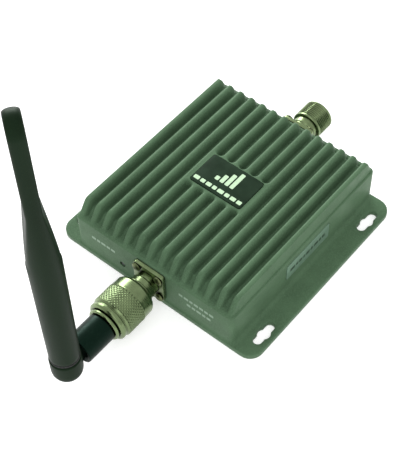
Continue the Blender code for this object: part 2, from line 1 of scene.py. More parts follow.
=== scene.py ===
"""Looks of the cellular signal booster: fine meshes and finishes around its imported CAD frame.

X runs across the fins, Y along them (the antenna is at -Y), Z is up. Shapes are worked out in
millimetres in the frame's own axes, or about their own turning axis, and placed in metres.
"""

import json
import math

import bmesh
import bpy
import numpy as np
from mathutils import Matrix, Vector


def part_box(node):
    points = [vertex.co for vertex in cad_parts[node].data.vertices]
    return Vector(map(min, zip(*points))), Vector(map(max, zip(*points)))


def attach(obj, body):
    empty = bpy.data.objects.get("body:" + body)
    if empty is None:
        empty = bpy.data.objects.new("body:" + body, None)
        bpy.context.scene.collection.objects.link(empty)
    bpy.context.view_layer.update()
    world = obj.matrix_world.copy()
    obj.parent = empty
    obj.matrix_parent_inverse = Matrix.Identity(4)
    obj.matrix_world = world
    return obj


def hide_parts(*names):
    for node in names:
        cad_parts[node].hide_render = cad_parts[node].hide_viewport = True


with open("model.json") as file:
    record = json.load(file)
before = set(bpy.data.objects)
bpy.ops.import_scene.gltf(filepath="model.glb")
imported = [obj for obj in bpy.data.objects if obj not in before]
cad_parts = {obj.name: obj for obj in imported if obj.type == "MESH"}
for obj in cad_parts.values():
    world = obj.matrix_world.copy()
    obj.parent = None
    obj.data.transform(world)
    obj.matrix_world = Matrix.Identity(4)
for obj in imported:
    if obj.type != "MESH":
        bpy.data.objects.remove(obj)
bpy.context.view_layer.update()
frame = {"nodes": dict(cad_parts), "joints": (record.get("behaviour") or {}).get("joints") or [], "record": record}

MM = 0.001
GAP = 0.3                       # clearance that the CAD keeps between neighbours


def span(node):
    """Lowest and highest corner of a CAD node, in millimetres."""
    low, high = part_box(node)
    return low / MM, high / MM


def middle(node):
    """Centre of a CAD node's box, in millimetres."""
    low, high = span(node)
    return (low + high) / 2


def screws(kind):
    """Centres of the four screws of one kind."""
    return [middle(f"{kind}_screw_{number}") for number in range(1, 5)]


# --- sizes read from the frame
FLANGE_X, FLANGE_Y, FIN_TOP = span("finned_housing")[1]
BADGE = span("badge_plate")
LABEL = span("side_label_plate")
PORT_Z = middle("indoor_port_contact").z
COVER = span("bottom_cover")
TILT = [joint for joint in frame["joints"] if joint["name"] == "whip_tilt"][0]
PIN = Vector(TILT["pos_m"]) / MM    # the hinge, which is also on the whip's own axis

# Casting
FLANGE_THICK = 3.0
FLANGE_CORNER = 7.0
FLANGE_EDGE, FLANGE_END_EDGE = 0.6, 0.2     # rounding of the flanges' upper rim
FOOT_EDGE = 0.4                 # rounding of the casting's lower rim
KEYHOLE_WIDE_Y = 40.3           # the wide middle of a keyhole slot, from the box's centre
KEYHOLE_REACH = 4.5             # from there to the centre of either narrow end
KEYHOLE_WIDE_R, KEYHOLE_NARROW_R = 3.1, 2.2
WALL_X = 46.3
WALL_Y = 54.3
WALL_TOP = 22.7
WALL_CORNER = 2.5
LEDGE_ROUND = 0.9
SKIRT = 2.4                     # fillet where the side walls meet the flanges
END_SKIRT = 0.5                 # the same on the end walls, which stand at the flange's edge
CAVITY_X, CAVITY_Y, CAVITY_TOP = 42.5, 50.5, 20.3
COVER_SEAT = 3.5
PLATE_SEAT = 0.6                # depth of the recesses for the badge and the label
BADGE_CORNER = 1.5
SCREW_HOLE_R, BOARD_HOLE_R = 1.65, 1.3
COVER_POST_R, BOARD_POST_R = 3.6, 2.6
LAMP_HOLE_R, JACK_HOLE_R = 1.75, 4.3
HOLE_DEPTH = 12.0               # of a cutter that goes right through an end wall

# Fins
FIN_COUNT = 14
FIN_PITCH = 6.7
FIN_TOP_WIDTH = 2.7
VALLEY_FLOOR = 25.3
VALLEY_FLOOR_WIDTH = 2.2
FIN_TOP_END = 47.5              # of the crests at the antenna's end
FIN_REAR_END = 49.2             # and at the rear, where the fins stop more steeply
FIN_FOOT_END = 53.0
FIN_SIDE_LEAN = 0.4
CREST_ROUND = 1.7               # how far down its sides a fin's rounded crest reaches
CREST_X = (FIN_COUNT - 1) / 2 * FIN_PITCH       # middle of the outermost crest
VALLEY_HALF = (FIN_PITCH - FIN_TOP_WIDTH) / 2   # half width of a valley at its top
PAD_X, PAD_Y = 2.5 * FIN_PITCH - FIN_TOP_WIDTH / 2, BADGE[1].y + 1.0    # the badge's flat pad
STOP_Y = PAD_Y + VALLEY_HALF    # centre of the round ends of the valleys that the pad stops

# N connectors; their outlines below are radii and heights from the seat or the box's centre
THREAD_R = 7.94
THREAD_PITCH = 1.058            # 24 turns an inch
THREAD_DEPTH = 0.40
PORT_FLANGE, PORT_FLANGE_THICK = 17.5, 2.0
PORT_HOLE_R = 5.8
KNURL_TEETH = 40
KNURL_DEPTH = 0.50
KNURL_LOW, KNURL_HIGH = 6.9, 16.5
NUT_NOSE_R, NUT_SHOULDER_R, NUT_TAIL_R = 10.4, 10.6, 10.2
STUB_END = 102.7                # from the box's centre, like the plug's heights

# Hinge
TONGUE_HALF, TONGUE_R = 2.5, 4.9
HINGE_HOLE_R = 1.8

# Whip, as heights and radii
KNUCKLE_R, KNUCKLE_DOME, KNUCKLE_TOP = 7.2, 10.6, 18.9
WHIP_FOOT, WHIP_SHOULDER, WHIP_BLADE, WHIP_CENTRE = 20.9, 90.0, 120.5, 162.4
WHIP_FOOT_R, WHIP_R = 6.85, 7.1
BLADE_HALF = 3.3
BLADE_TURN = math.radians(54.0)
BLADE_EASE = 0.55               # softness of the edges between the blade's flats and its round
SPIGOT_BORE_R, ELEMENT_BORE_R = 5.6, 2.2        # of the sleeve


# --- mesh helpers
def bend(start, corner, end, steps):
    """Points on a smooth bend from one point to another, drawn towards a corner."""
    return [tuple(start * (1 - t) ** 2 + corner * 2 * t * (1 - t) + end * t * t)
            for t in (step / steps for step in range(steps + 1))]


def softened(points, radius, steps=3, closed=False):
    """An outline with each corner rounded by up to a radius."""
    made = []
    count = len(points)
    for index, point in enumerate(points):
        if not closed and index in (0, count - 1):
            made.append(tuple(point))
            continue
        here = Vector(point)
        back = Vector(points[index - 1]) - here
        on = Vector(points[(index + 1) % count]) - here
        start = here + back.normalized() * min(radius, 0.45 * back.length)
        end = here + on.normalized() * min(radius, 0.45 * on.length)
        made += bend(start, here, end, steps)
    return made


def zigzag(turns):
    """A wave that falls from 1 to 0 and rises to 1 again within each turn."""
    return abs(2 * (turns % 1.0) - 1)


def subdivided(profile, low, high, step):
    """A (radius, height) profile with extra points on its runs between two heights."""
    made = [profile[0]]
    for (r0, h0), (r1, h1) in zip(profile, profile[1:]):
        inside = min(h0, h1) >= low - 1e-6 and max(h0, h1) <= high + 1e-6
        parts = max(1, round(abs(h1 - h0) / step)) if inside else 1
        for part in range(1, parts + 1):
            t = part / parts
            made.append((r0 + (r1 - r0) * t, h0 + (h1 - h0) * t))
    return made


def turned(profile, segments=64, closed=False, relief=None):
    """A shape turned about Z from (radius, height) points; relief is taken off the radius."""
    shape = bmesh.new()
    rows = []
    for radius, height in profile:
        if radius < 1e-6:
            rows.append([shape.verts.new((0.0, 0.0, height))])
            continue
        row = []
        for index in range(segments):
            angle = math.tau * index / segments
            r = radius - (relief(angle, radius, height) if relief else 0.0)
            row.append(shape.verts.new((r * math.cos(angle), r * math.sin(angle), height)))
        rows.append(row)
    pairs = list(zip(rows, rows[1:])) + ([(rows[-1], rows[0])] if closed else [])
    for upper, lower in pairs:
        for i in range(segments):
            j = (i + 1) % segments
            corners = [upper[i % len(upper)], lower[i % len(lower)],
                       lower[j % len(lower)], upper[j % len(upper)]]
            corners = list(dict.fromkeys(corners))
            if len(corners) > 2:
                shape.faces.new(corners)
    bmesh.ops.recalc_face_normals(shape, faces=shape.faces)
    return shape


def lathe(points, radius, steps, segments, closed=False):
    """A turned shape whose outline has rounded corners."""
    return turned(softened(points, radius, steps, closed), segments, closed)


def lofted(rings):
    """A closed shape through rings of points, capped at both ends."""
    shape = bmesh.new()
    rows = [[shape.verts.new(point) for point in ring] for ring in rings]
    count = len(rows[0])
    for lower, upper in zip(rows, rows[1:]):
        for i in range(count):
            j = (i + 1) % count
            shape.faces.new((lower[i], lower[j], upper[j], upper[i]))
    shape.faces.new(rows[0][::-1])
    shape.faces.new(rows[-1])
    bmesh.ops.recalc_face_normals(shape, faces=shape.faces)
    return shape


def block(low, high, edge=0.0, steps=2, upright=0.0, axis=2):
    """A box between two corners; its edges along one axis can be rounded more than the rest."""
    shape = bmesh.new()
    low, high = Vector(low), Vector(high)
    size = high - low
    bmesh.ops.create_cube(shape, size=1.0, matrix=Matrix.Translation((low + high) / 2)
                          @ Matrix.Diagonal((*size, 1.0)))
    if upright:
        sides = [e for e in shape.edges
                 if abs((e.verts[0].co - e.verts[1].co)[axis]) > 0.9 * size[axis]]
        bmesh.ops.bevel(shape, geom=sides, offset=upright, segments=6, profile=0.5, affect="EDGES")
    if edge:
        rim = [e for e in shape.edges if e.calc_face_angle(0.0) > 1.0]
        bmesh.ops.bevel(shape, geom=rim, offset=edge, segments=steps, profile=0.5, affect="EDGES")
    bmesh.ops.recalc_face_normals(shape, faces=shape.faces)
    return shape


def rod(centre, radius, length, segments, axis=(0, 0, 1)):
    """A plain cylinder about a centre."""
    shape = bmesh.new()
    turn = Vector((0, 0, 1)).rotation_difference(Vector(axis)).to_matrix().to_4x4()
    bmesh.ops.create_cone(shape, cap_ends=True, segments=segments, radius1=radius, radius2=radius,
                          depth=length, matrix=Matrix.Translation(centre) @ turn)
    return shape


def merged(shapes):
    """Shapes that don't touch, as one."""
    whole = bmesh.new()
    for shape in shapes:
        mesh = bpy.data.meshes.new("part")
        shape.to_mesh(mesh)
        shape.free()
        whole.from_mesh(mesh)
        bpy.data.meshes.remove(mesh)
    return whole


CUT, JOIN, KEEP = "DIFFERENCE", "UNION", "INTERSECT"


def carved(shape, *steps):
    """The shape after exact Booleans; each step is an operation and a tool shape."""
    made = []

    def held(tool):
        mesh = bpy.data.meshes.new("tool")
        tool.to_mesh(mesh)
        tool.free()
        item = bpy.data.objects.new("tool", mesh)
        bpy.context.scene.collection.objects.link(item)
        made.append(item)
        return item

    body = held(shape)
    for operation, tool in steps:
        modifier = body.modifiers.new(operation, "BOOLEAN")
        modifier.operation = operation
        modifier.solver = "EXACT"
        modifier.object = held(tool)
    graph = bpy.context.evaluated_depsgraph_get()
    mesh = bpy.data.meshes.new_from_object(body.evaluated_get(graph))
    result = bmesh.new()
    result.from_mesh(mesh)
    bpy.data.meshes.remove(mesh)
    for item in made:
        mesh = item.data
        bpy.data.objects.remove(item)
        bpy.data.meshes.remove(mesh)
    return result


def along(base, axis):
    """The place, in metres, whose Z axis runs from a point in millimetres along an axis."""
    turn = Vector((0, 0, 1)).rotation_difference(Vector(axis)).to_matrix().to_4x4()
    return Matrix.Translation(Vector(base) * MM) @ turn


def finished(name, shape, look, sharp=38):
    """A mesh in metres from a shape in millimetres, smooth but for its sharp edges."""
    mesh = bpy.data.meshes.new(name)
    shape.transform(Matrix.Scale(MM, 4))
    shape.to_mesh(mesh)
    shape.free()
    mesh.materials.clear()
    mesh.materials.append(look)
    mesh.shade_smooth()
    mesh.set_sharp_from_angle(angle=math.radians(sharp))
    return mesh


def add(name, shape, look, body, nodes=(), place=None, sharp=38):
    """Makes a piece of a shape in millimetres, and gives it its look, body and CAD nodes."""
    return add_mesh(name, finished(name, shape, look, sharp), body, nodes, place)


def add_mesh(name, mesh, body, nodes=(), place=None):
    """Makes a piece of a mesh that may be shared with its copies."""
    piece = bpy.data.objects.new(name, mesh)
    bpy.context.scene.collection.objects.link(piece)
    if place is not None:
        piece.matrix_world = place
    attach(piece, body)
    if nodes:
        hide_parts(*nodes)
    return piece


# --- material helpers
class Look:
    """A node material under construction; coordinates are the piece's own, in metres."""

    def __init__(self, name, base, roughness, metallic=0.0, specular=0.5, sheen_of=(1.0, 1.0, 1.0)):
        self.base = base
        self.made = bpy.data.materials.new(name)
        self.made.use_nodes = True
        self.made.diffuse_color = (*base, 1.0)
        self.nodes = self.made.node_tree.nodes
        self.links = self.made.node_tree.links
        self.shader = self.nodes["Principled BSDF"]
        self.shader.inputs["Base Color"].default_value = (*base, 1.0)
        self.shader.inputs["Roughness"].default_value = roughness
        self.shader.inputs["Metallic"].default_value = metallic
        self.shader.inputs["Specular IOR Level"].default_value = specular
        self.shader.inputs["Specular Tint"].default_value = (*sheen_of, 1.0)
        self.place = self.node("TexCoord").outputs["Object"]

    def node(self, kind, **inputs):
        """A shader node whose inputs are values or other nodes' outputs."""
        made = self.nodes.new("ShaderNode" + kind)
        for name, value in inputs.items():
            if isinstance(value, bpy.types.NodeSocket):
                self.links.new(value, made.inputs[name])
            else:
                made.inputs[name].default_value = value
        return made

    def noise(self, size_mm, detail=2.0, roughness=0.5, stretch=None):
        """Noise whose features are about a size across, its coordinates scaled on each axis."""
        place = self.place
        if stretch:
            place = self.node("Mapping", Scale=stretch, Vector=place).outputs["Vector"]
        return self.node("TexNoise", Scale=1.0 / (size_mm * MM), Detail=detail, Roughness=roughness,
                         Vector=place).outputs["Fac"]

    def cells(self, size_mm):
        """Distance to the nearest of scattered points a size apart."""
        return self.node("TexVoronoi", Scale=1.0 / (size_mm * MM), Vector=self.place).outputs["Distance"]

    def ramp(self, value, *stops):
        """A colour ramp of (position, colour or grey) stops."""
        node = self.node("ValToRGB", Fac=value)
        marks = node.color_ramp.elements
        while len(marks) < len(stops):
            marks.new(0.5)
        for mark, (position, colour) in zip(marks, stops):
            mark.position = position
            grey = isinstance(colour, (int, float))
            mark.color = (colour, colour, colour, 1.0) if grey else (*colour, 1.0)
        return node.outputs["Color"]

    def mask(self, value, low, high):
        """Black below one value and white above another."""
        return self.ramp(value, (low, 0.0), (high, 1.0))

    def tones(self, value, darker, lighter):
        """The base colour between two strengths of itself."""
        return self.ramp(value, (0.3, shade(self.base, darker)), (0.7, shade(self.base, lighter)))

    def mixed(self, factor, first, second):
        """A mix of two colours, each a tuple or another node's output."""
        node = self.nodes.new("ShaderNodeMix")
        node.data_type = "RGBA"
        for value, name in ((first, "A"), (second, "B")):
            socket = [s for s in node.inputs if s.name == name and s.type == "RGBA"][0]
            if isinstance(value, tuple):
                socket.default_value = (*value, 1.0)
            else:
                self.links.new(value, socket)
        self.links.new(factor, node.inputs["Factor"])
        return [s for s in node.outputs if s.type == "RGBA"][0]

    def sum(self, first, second, share):
        """One value plus a share of another."""
        node = self.nodes.new("ShaderNodeMath")
        node.operation = "MULTIPLY_ADD"
        self.links.new(second, node.inputs[0])
        node.inputs[1].default_value = share
        self.links.new(first, node.inputs[2])
        return node.outputs[0]

    def edges(self, radius_mm, low, high):
        """A mask of the convex and concave edges within a radius."""
        soft = self.node("Bevel", Radius=radius_mm * MM)
        soft.samples = 4
        dot = self.nodes.new("ShaderNodeVectorMath")
        dot.operation = "DOT_PRODUCT"
        self.links.new(soft.outputs["Normal"], dot.inputs[0])
        self.links.new(self.node("NewGeometry").outputs["Normal"], dot.inputs[1])
        return self.ramp(dot.outputs["Value"], (low, 1.0), (high, 0.0))

    def crevices(self, reach_mm, low, high):
        """A mask of the places that are shut in within a reach."""
        node = self.node("AmbientOcclusion", Distance=reach_mm * MM)
        node.samples = 8
        return self.ramp(node.outputs["AO"], (low, 1.0), (high, 0.0))

    def relief(self, height, depth_mm, strength):
        """Bump from a height of 0 to 1."""
        bump = self.node("Bump", Strength=strength, Distance=depth_mm * MM, Height=height)
        self.links.new(bump.outputs["Normal"], self.shader.inputs["Normal"])

    def colour(self, output):
        """The shader's colour."""
        self.links.new(output, self.shader.inputs["Base Color"])

    def roughness(self, value, low, high):
        """The shader's roughness, between two values."""
        self.links.new(self.ramp(value, (0.3, low), (0.7, high)), self.shader.inputs["Roughness"])


def shade(colour, factor):
    """A colour made darker or lighter."""
    return tuple(min(1.0, channel * factor) for channel in colour)


# --- finishes
def green_paint():
    """Satin powder coat over the casting: orange peel, faint mottling, and lighter edges that are partly rubbed
    wear and partly a painted highlight.
    """
    base = (0.073, 0.129, 0.073)
    look = Look("green_paint", base, 0.38, specular=0.08, sheen_of=(0.62, 1.0, 0.68))
    mottle = look.ramp(look.noise(14.0, 3.0), (0.35, shade(base, 0.88)), (0.65, shade(base, 1.10)))
    speck = look.mask(look.noise(0.45), 0.42, 0.72)
    flecked = look.mixed(speck, mottle, shade(base, 1.28))
    # Every edge, convex or concave, turns lighter: partly rubbed wear, partly a painted highlight on the rounded
    # crests.
    look.colour(look.mixed(look.edges(0.4, 0.80, 0.985), flecked, shade(base, 1.4)))
    look.roughness(look.noise(5.0), 0.36, 0.48)
    peel = look.sum(look.noise(0.9), look.noise(0.25), 0.35)
    look.relief(peel, 0.06, 0.55)
    return look.made


def nickel():
    """Nickel plate on turned brass: warm olive tone, lathe marks round the axis, faint stains, and painted shade
    in the knurl's grooves and other crevices.
    """
    look = Look("nickel", (0.168, 0.224, 0.110), 0.24, metallic=1.0)
    tone = look.tones(look.noise(4.0, 3.0), 0.84, 1.12)
    stain = look.mask(look.noise(1.3, 4.0, 0.65), 0.62, 0.80)
    stained = look.mixed(stain, tone, (0.13, 0.15, 0.08))
    # Near black where the surface is shut in, as in the knurl's grooves and at the flange's joins: painted shade,
    # from ambient occlusion.
    look.colour(look.mixed(look.crevices(0.9, 0.50, 0.96), stained, (0.020, 0.028, 0.012)))
    marks = look.noise(0.30, 3.0, 0.6, (0.08, 0.08, 1.0))
    look.roughness(marks, 0.18, 0.34)
    look.relief(marks, 0.02, 0.5)
    return look.made


def zinc_steel():
    """Zinc plated screws: olive grey with a passivated yellow tinge."""
    base = (0.105, 0.135, 0.065)
    look = Look("zinc_steel", base, 0.34, metallic=1.0)
    look.colour(look.ramp(look.noise(2.2, 3.0), (0.3, shade(base, 0.85)), (0.7, (0.145, 0.17, 0.08))))
    look.roughness(look.noise(0.6, 3.0), 0.26, 0.44)
    look.relief(look.noise(0.22), 0.02, 0.5)
    return look.made


def whip_green():
    """Satin moulded polyurethane of the whip: very fine spark grain and faint flow marks."""
    base = (0.0080, 0.0148, 0.0080)
    look = Look("whip_green", base, 0.42, specular=0.06, sheen_of=(0.45, 1.0, 0.52))
    flow = look.noise(7.0, 3.0, 0.5, (1.0, 1.0, 0.25))
    tone = look.tones(flow, 0.82, 1.18)
    dust = look.mask(look.noise(0.5, 3.0), 0.55, 0.85)
    look.colour(look.mixed(dust, tone, shade(base, 1.6)))
    look.roughness(flow, 0.36, 0.50)
    look.relief(look.cells(0.28), 0.02, 0.45)
    return look.made


def black_stub():
    """Black moulded nylon with a satin skin."""
    base = (0.0035, 0.0080, 0.0052)
    look = Look("black_stub", base, 0.34, specular=0.09, sheen_of=(0.28, 1.0, 0.70))
    scuff = look.mask(look.noise(1.6, 5.0, 0.7), 0.55, 0.85)
    look.colour(look.mixed(scuff, base, shade(base, 2.4)))
    look.roughness(look.noise(2.5, 3.0), 0.27, 0.42)
    look.relief(look.cells(0.30), 0.02, 0.4)
    return look.made


def black_rubber():
    """Matt nitrile rubber with a dusty bloom."""
    base = (0.012, 0.013, 0.012)
    look = Look("black_rubber", base, 0.75, specular=0.3)
    bloom = look.mask(look.noise(1.2, 4.0), 0.45, 0.9)
    look.colour(look.mixed(bloom, base, (0.05, 0.052, 0.05)))
    look.roughness(look.noise(0.8), 0.66, 0.85)
    look.relief(look.noise(0.2), 0.03, 0.5)
    return look.made


def black_plastic():
    """Glass-filled black moulding compound."""
    base = (0.011, 0.012, 0.012)
    look = Look("black_plastic", base, 0.5)
    fibre = look.mask(look.noise(0.35, 3.0, 0.6, (1.0, 3.0, 1.0)), 0.55, 0.85)
    look.colour(look.mixed(fibre, base, shade(base, 3.0)))
    look.roughness(look.noise(0.8), 0.42, 0.60)
    look.relief(look.noise(0.18), 0.02, 0.5)
    return look.made


def dark_label():
    """The badge's printed polycarbonate: near black green with a soft sheen."""
    look = Look("dark_label", (0.019, 0.034, 0.021), 0.36, specular=0.01)
    look.colour(look.tones(look.noise(6.0), 0.85, 1.2))
    look.roughness(look.noise(1.0), 0.26, 0.36)
    look.relief(look.noise(0.35), 0.01, 0.4)
    return look.made


def label_film():
    """The side label's film, a shade lighter and bluer than the paint."""
    look = Look("label_film", (0.125, 0.205, 0.145), 0.38, specular=0.2, sheen_of=(0.62, 1.0, 0.68))
    look.colour(look.tones(look.noise(5.0, 3.0), 0.92, 1.1))
    look.roughness(look.noise(1.5), 0.32, 0.44)
    look.relief(look.noise(0.4), 0.01, 0.4)
    return look.made


def ink(name, base, worn, roughness):
    """Screen-printed ink that lets a little of the surface through where it is worn."""
    look = Look(name, base, roughness)
    wear = look.mask(look.noise(0.7, 4.0, 0.6), 0.52, 0.75)
    look.colour(look.mixed(wear, base, worn))
    look.roughness(look.noise(0.5), roughness - 0.06, roughness + 0.06)
    look.relief(look.noise(0.25), 0.01, 0.4)
    return look.made


def white_ptfe():
    """Waxy fluoropolymer with turning marks."""
    look = Look("white_ptfe", (0.80, 0.80, 0.77), 0.42)
    look.shader.inputs["Subsurface Weight"].default_value = 0.15
    look.shader.inputs["Subsurface Radius"].default_value = (0.002, 0.002, 0.002)
    marks = look.noise(0.35, 2.0, 0.5, (0.1, 0.1, 1.0))
    look.colour(look.tones(marks, 0.93, 1.04))
    look.roughness(marks, 0.36, 0.5)
    look.relief(marks, 0.02, 0.4)
    return look.made


def gold_plated_brass():
    """Gold flash over turned brass."""
    look = Look("gold_plated_brass", (0.80, 0.58, 0.24), 0.24, metallic=1.0)
    marks = look.noise(0.3, 3.0, 0.5, (0.1, 0.1, 1.0))
    look.colour(look.tones(look.noise(2.0, 3.0), 0.86, 1.1))
    look.roughness(marks, 0.18, 0.32)
    look.relief(marks, 0.015, 0.4)
    return look.made


def tinplate():
    """Tinned steel with its faint spangle."""
    base = (0.64, 0.65, 0.66)
    look = Look("tinplate", base, 0.32, metallic=1.0)
    look.colour(look.ramp(look.cells(1.6), (0.1, shade(base, 0.88)), (0.7, shade(base, 1.08))))
    look.roughness(look.noise(0.8, 3.0), 0.26, 0.42)
    look.relief(look.noise(0.5, 2.0, 0.5, (1.0, 0.1, 1.0)), 0.01, 0.4)
    return look.made


def board_green():
    """Solder resist over copper: lighter traces show through."""
    base = (0.012, 0.115, 0.045)
    look = Look("board_green", base, 0.30)
    trace = look.mask(look.noise(1.6, 0.0, 0.5, (1.0, 0.12, 1.0)), 0.50, 0.53)
    look.colour(look.mixed(trace, base, (0.03, 0.20, 0.075)))
    look.roughness(look.noise(0.6), 0.24, 0.38)
    look.relief(trace, 0.02, 0.5)
    return look.made


def ceramic():
    """Silvered ceramic filter block, sintered grain."""
    look = Look("ceramic", (0.52, 0.48, 0.40), 0.5)
    look.colour(look.tones(look.noise(0.7, 4.0), 0.85, 1.12))
    look.roughness(look.noise(1.4), 0.42, 0.6)
    look.relief(look.noise(0.2, 3.0), 0.02, 0.5)
    return look.made


def thermal_pad():
    """Soft silicone gap pad."""
    look = Look("thermal_pad", (0.36, 0.42, 0.58), 0.7, specular=0.3)
    look.colour(look.tones(look.noise(0.5, 3.0), 0.88, 1.1))
    look.roughness(look.noise(1.0), 0.62, 0.8)
    look.relief(look.cells(0.6), 0.04, 0.4)
    return look.made


def smoked_lens():
    """Tinted light pipe: nearly black until the lamp behind it is lit."""
    look = Look("clear_lens", (0.012, 0.022, 0.015), 0.12, specular=0.2)
    look.colour(look.tones(look.noise(1.0), 0.8, 1.4))
    look.roughness(look.noise(0.6), 0.07, 0.16)
    look.relief(look.noise(0.5), 0.005, 0.4)
    return look.made


PAINT = green_paint()
NICKEL = nickel()
ZINC = zinc_steel()
WHIP = whip_green()
STUB = black_stub()
RUBBER = black_rubber()
PLASTIC = black_plastic()
BADGE_LOOK = dark_label()
FILM = label_film()
PALE_INK = ink("pale_ink", (0.47, 0.66, 0.43), (0.32, 0.46, 0.30), 0.45)
FADED_INK = ink("faded_ink", (0.19, 0.29, 0.20), (0.12, 0.20, 0.12), 0.45)
DARK_INK = ink("dark_ink", (0.020, 0.045, 0.025), (0.06, 0.11, 0.065), 0.42)
PTFE = white_ptfe()
BRASS = gold_plated_brass()
TIN = tinplate()
BOARD = board_green()
CERAMIC = ceramic()
PAD = thermal_pad()
LENS = smoked_lens()


# --- the casting
def eased_min(a, b, width):
    """The smaller of two heights, blended over a width where they cross."""
    h = np.clip(0.5 + 0.5 * (b - a) / width, 0.0, 1.0)
    return b * (1 - h) + a * h - width * h * (1 - h)


def valley_section():
    """(distance from the valley's axis, height) from its floor to the crest's middle."""
    edge = Vector((VALLEY_HALF, FIN_TOP))
    foot = Vector((VALLEY_FLOOR_WIDTH / 2, VALLEY_FLOOR))
    wall_end = edge + (foot - edge).normalized() * CREST_ROUND
    crest = Vector((FIN_PITCH / 2 - 0.15, FIN_TOP))
    floor = softened([(0.0, VALLEY_FLOOR), tuple(foot), tuple(wall_end)], 1.0, 4)[:-1]
    return floor + bend(wall_end, edge, crest, 6) + [(FIN_PITCH / 2, FIN_TOP)]


def outer_section():
    """(distance from the middle, height) of the outermost fin's outer half."""
    edge = CREST_X + FIN_TOP_WIDTH / 2
    run = [(CREST_X, FIN_TOP), (edge, FIN_TOP), (edge + FIN_SIDE_LEAN, WALL_TOP),
           (WALL_X - LEDGE_ROUND, WALL_TOP)]
    return softened(run, 1.0, 4)


def end_drop(top_end, ease):
    """(distance from the middle, depth) by which the fins sink into the ledge at one end."""
    grade = (FIN_TOP - WALL_TOP) / (FIN_FOOT_END - top_end)
    run = [(0.0, 0.0), (top_end, 0.0), (WALL_Y, (WALL_Y - top_end) * grade)]
    return np.array(softened(run, ease, 6))


def fin_heights(x, y):
    """Height of the casting's top over an array of places."""
    valley, outer = np.array(valley_section()), np.array(outer_section())
    front, rear = end_drop(FIN_TOP_END, 1.8), end_drop(FIN_REAR_END, 1.0)
    last = (FIN_COUNT - 2) / 2
    nearest = np.clip(np.round(x / FIN_PITCH + last) - last, -last, last)
    across = np.abs(x - nearest * FIN_PITCH)
    stopped = np.abs(nearest * FIN_PITCH) < PAD_X
    into_pad = np.where(stopped, np.maximum(0.0, STOP_Y - np.abs(y)), 0.0)
    distance = np.hypot(across, into_pad)
    z = np.interp(distance, valley[:, 0], valley[:, 1])
    z = np.where(np.abs(x) > CREST_X, np.interp(np.abs(x), outer[:, 0], outer[:, 1]), z)
    z = z - np.interp(-y, front[:, 0], front[:, 1]) - np.interp(y, rear[:, 0], rear[:, 1])
    return -eased_min(-z, np.full_like(z, -WALL_TOP), 0.9)


def x_stations():
    """Where the casting's top is cut across the fins."""
    distances = sorted({round(d, 4) for d, _ in valley_section()})
    centres = [(i - (FIN_COUNT - 2) / 2) * FIN_PITCH for i in range(FIN_COUNT - 1)]
    places = {round(c + side * d, 3) for c in centres for d in distances for side in (-1, 1)}
    places |= {round(side * d, 3) for d, _ in outer_section() for side in (-1, 1)}
    return np.array(thinned(sorted(places)))


def y_stations():
    """Where the casting's top is cut along the fins: close at the ends and round the pad."""
    half = [0.0, 4.0, 8.0]
    half += [STOP_Y - d for d, _ in valley_section() if d < FIN_PITCH / 2 - 0.5]
    half += [14.0, 18.0, 24.0, 30.0, 36.0, 41.0, 44.5]
    half += list(np.linspace(FIN_TOP_END - 2.0, WALL_Y - LEDGE_ROUND, 26))
    places = {round(side * float(d), 3) for d in half for side in (-1, 1)}
    return np.array(thinned(sorted(places)))


def thinned(places, closest=0.06):
    """Sorted places without those that all but repeat the one before."""
    kept = [places[0]]
    for place in places[1:]:
        if place - kept[-1] > closest:
            kept.append(place)
    kept[-1] = places[-1]
    return kept


def rounded_corners(x, y, half_x, half_y, zone):
    """Places in a rectangle, with its corner squares bent into quarter discs."""
    u = np.clip((np.abs(x) - (half_x - zone)) / zone, 0.0, 1.0)
    v = np.clip((np.abs(y) - (half_y - zone)) / zone, 0.0, 1.0)
    big, small = np.maximum(u, v), np.minimum(u, v)
    turn = math.pi / 4 * np.divide(small, big, out=np.zeros_like(big), where=big > 0)
    far, near = big * np.cos(turn), big * np.sin(turn)
    bent_u = np.where(u >= v, far, near)
    bent_v = np.where(u >= v, near, far)
    in_corner = (u > 0) & (v > 0)
    new_x = np.where(in_corner, np.sign(x) * (half_x - zone + zone * bent_u), x)
    new_y = np.where(in_corner, np.sign(y) * (half_y - zone + zone * bent_v), y)
    return new_x, new_y


def quarter(parts, first=0):
    """(sine, cosine) at even steps of a quarter turn."""
    angles = [math.radians(90.0 * step / parts) for step in range(first, parts + 1)]
    return [(math.sin(a), math.cos(a)) for a in angles]


def casting_rings():
    """(half width, half length, corner radius, height) from the ledge down to the underside."""
    rings = []
    for sine, cosine in quarter(4, first=1):
        out = LEDGE_ROUND * sine
        rings.append((WALL_X - LEDGE_ROUND + out, WALL_Y - LEDGE_ROUND + out,
                      WALL_CORNER - LEDGE_ROUND + out, WALL_TOP - LEDGE_ROUND * (1 - cosine)))
    rings.append((WALL_X, WALL_Y, WALL_CORNER, FLANGE_THICK + SKIRT + 6.0))
    for sine, cosine in quarter(5):
        out = 1 - cosine
        rings.append((WALL_X + SKIRT * out, WALL_Y + END_SKIRT * out, WALL_CORNER + SKIRT * out,
                      FLANGE_THICK + SKIRT * (1 - sine)))
    rings.append((FLANGE_X - 4.0, FLANGE_Y - 0.22, 5.5, FLANGE_THICK))
    for sine, cosine in quarter(3):
        inset = 1 - sine
        rings.append((FLANGE_X - FLANGE_EDGE * inset, FLANGE_Y - FLANGE_END_EDGE * inset,
                      FLANGE_CORNER - FOOT_EDGE * inset, FLANGE_THICK - FLANGE_EDGE * (1 - cosine)))
    for sine, cosine in quarter(3):
        inset = FOOT_EDGE * (1 - cosine)
        rings.append((FLANGE_X - inset, FLANGE_Y - inset, FLANGE_CORNER - inset, FOOT_EDGE * (1 - sine)))
    return rings


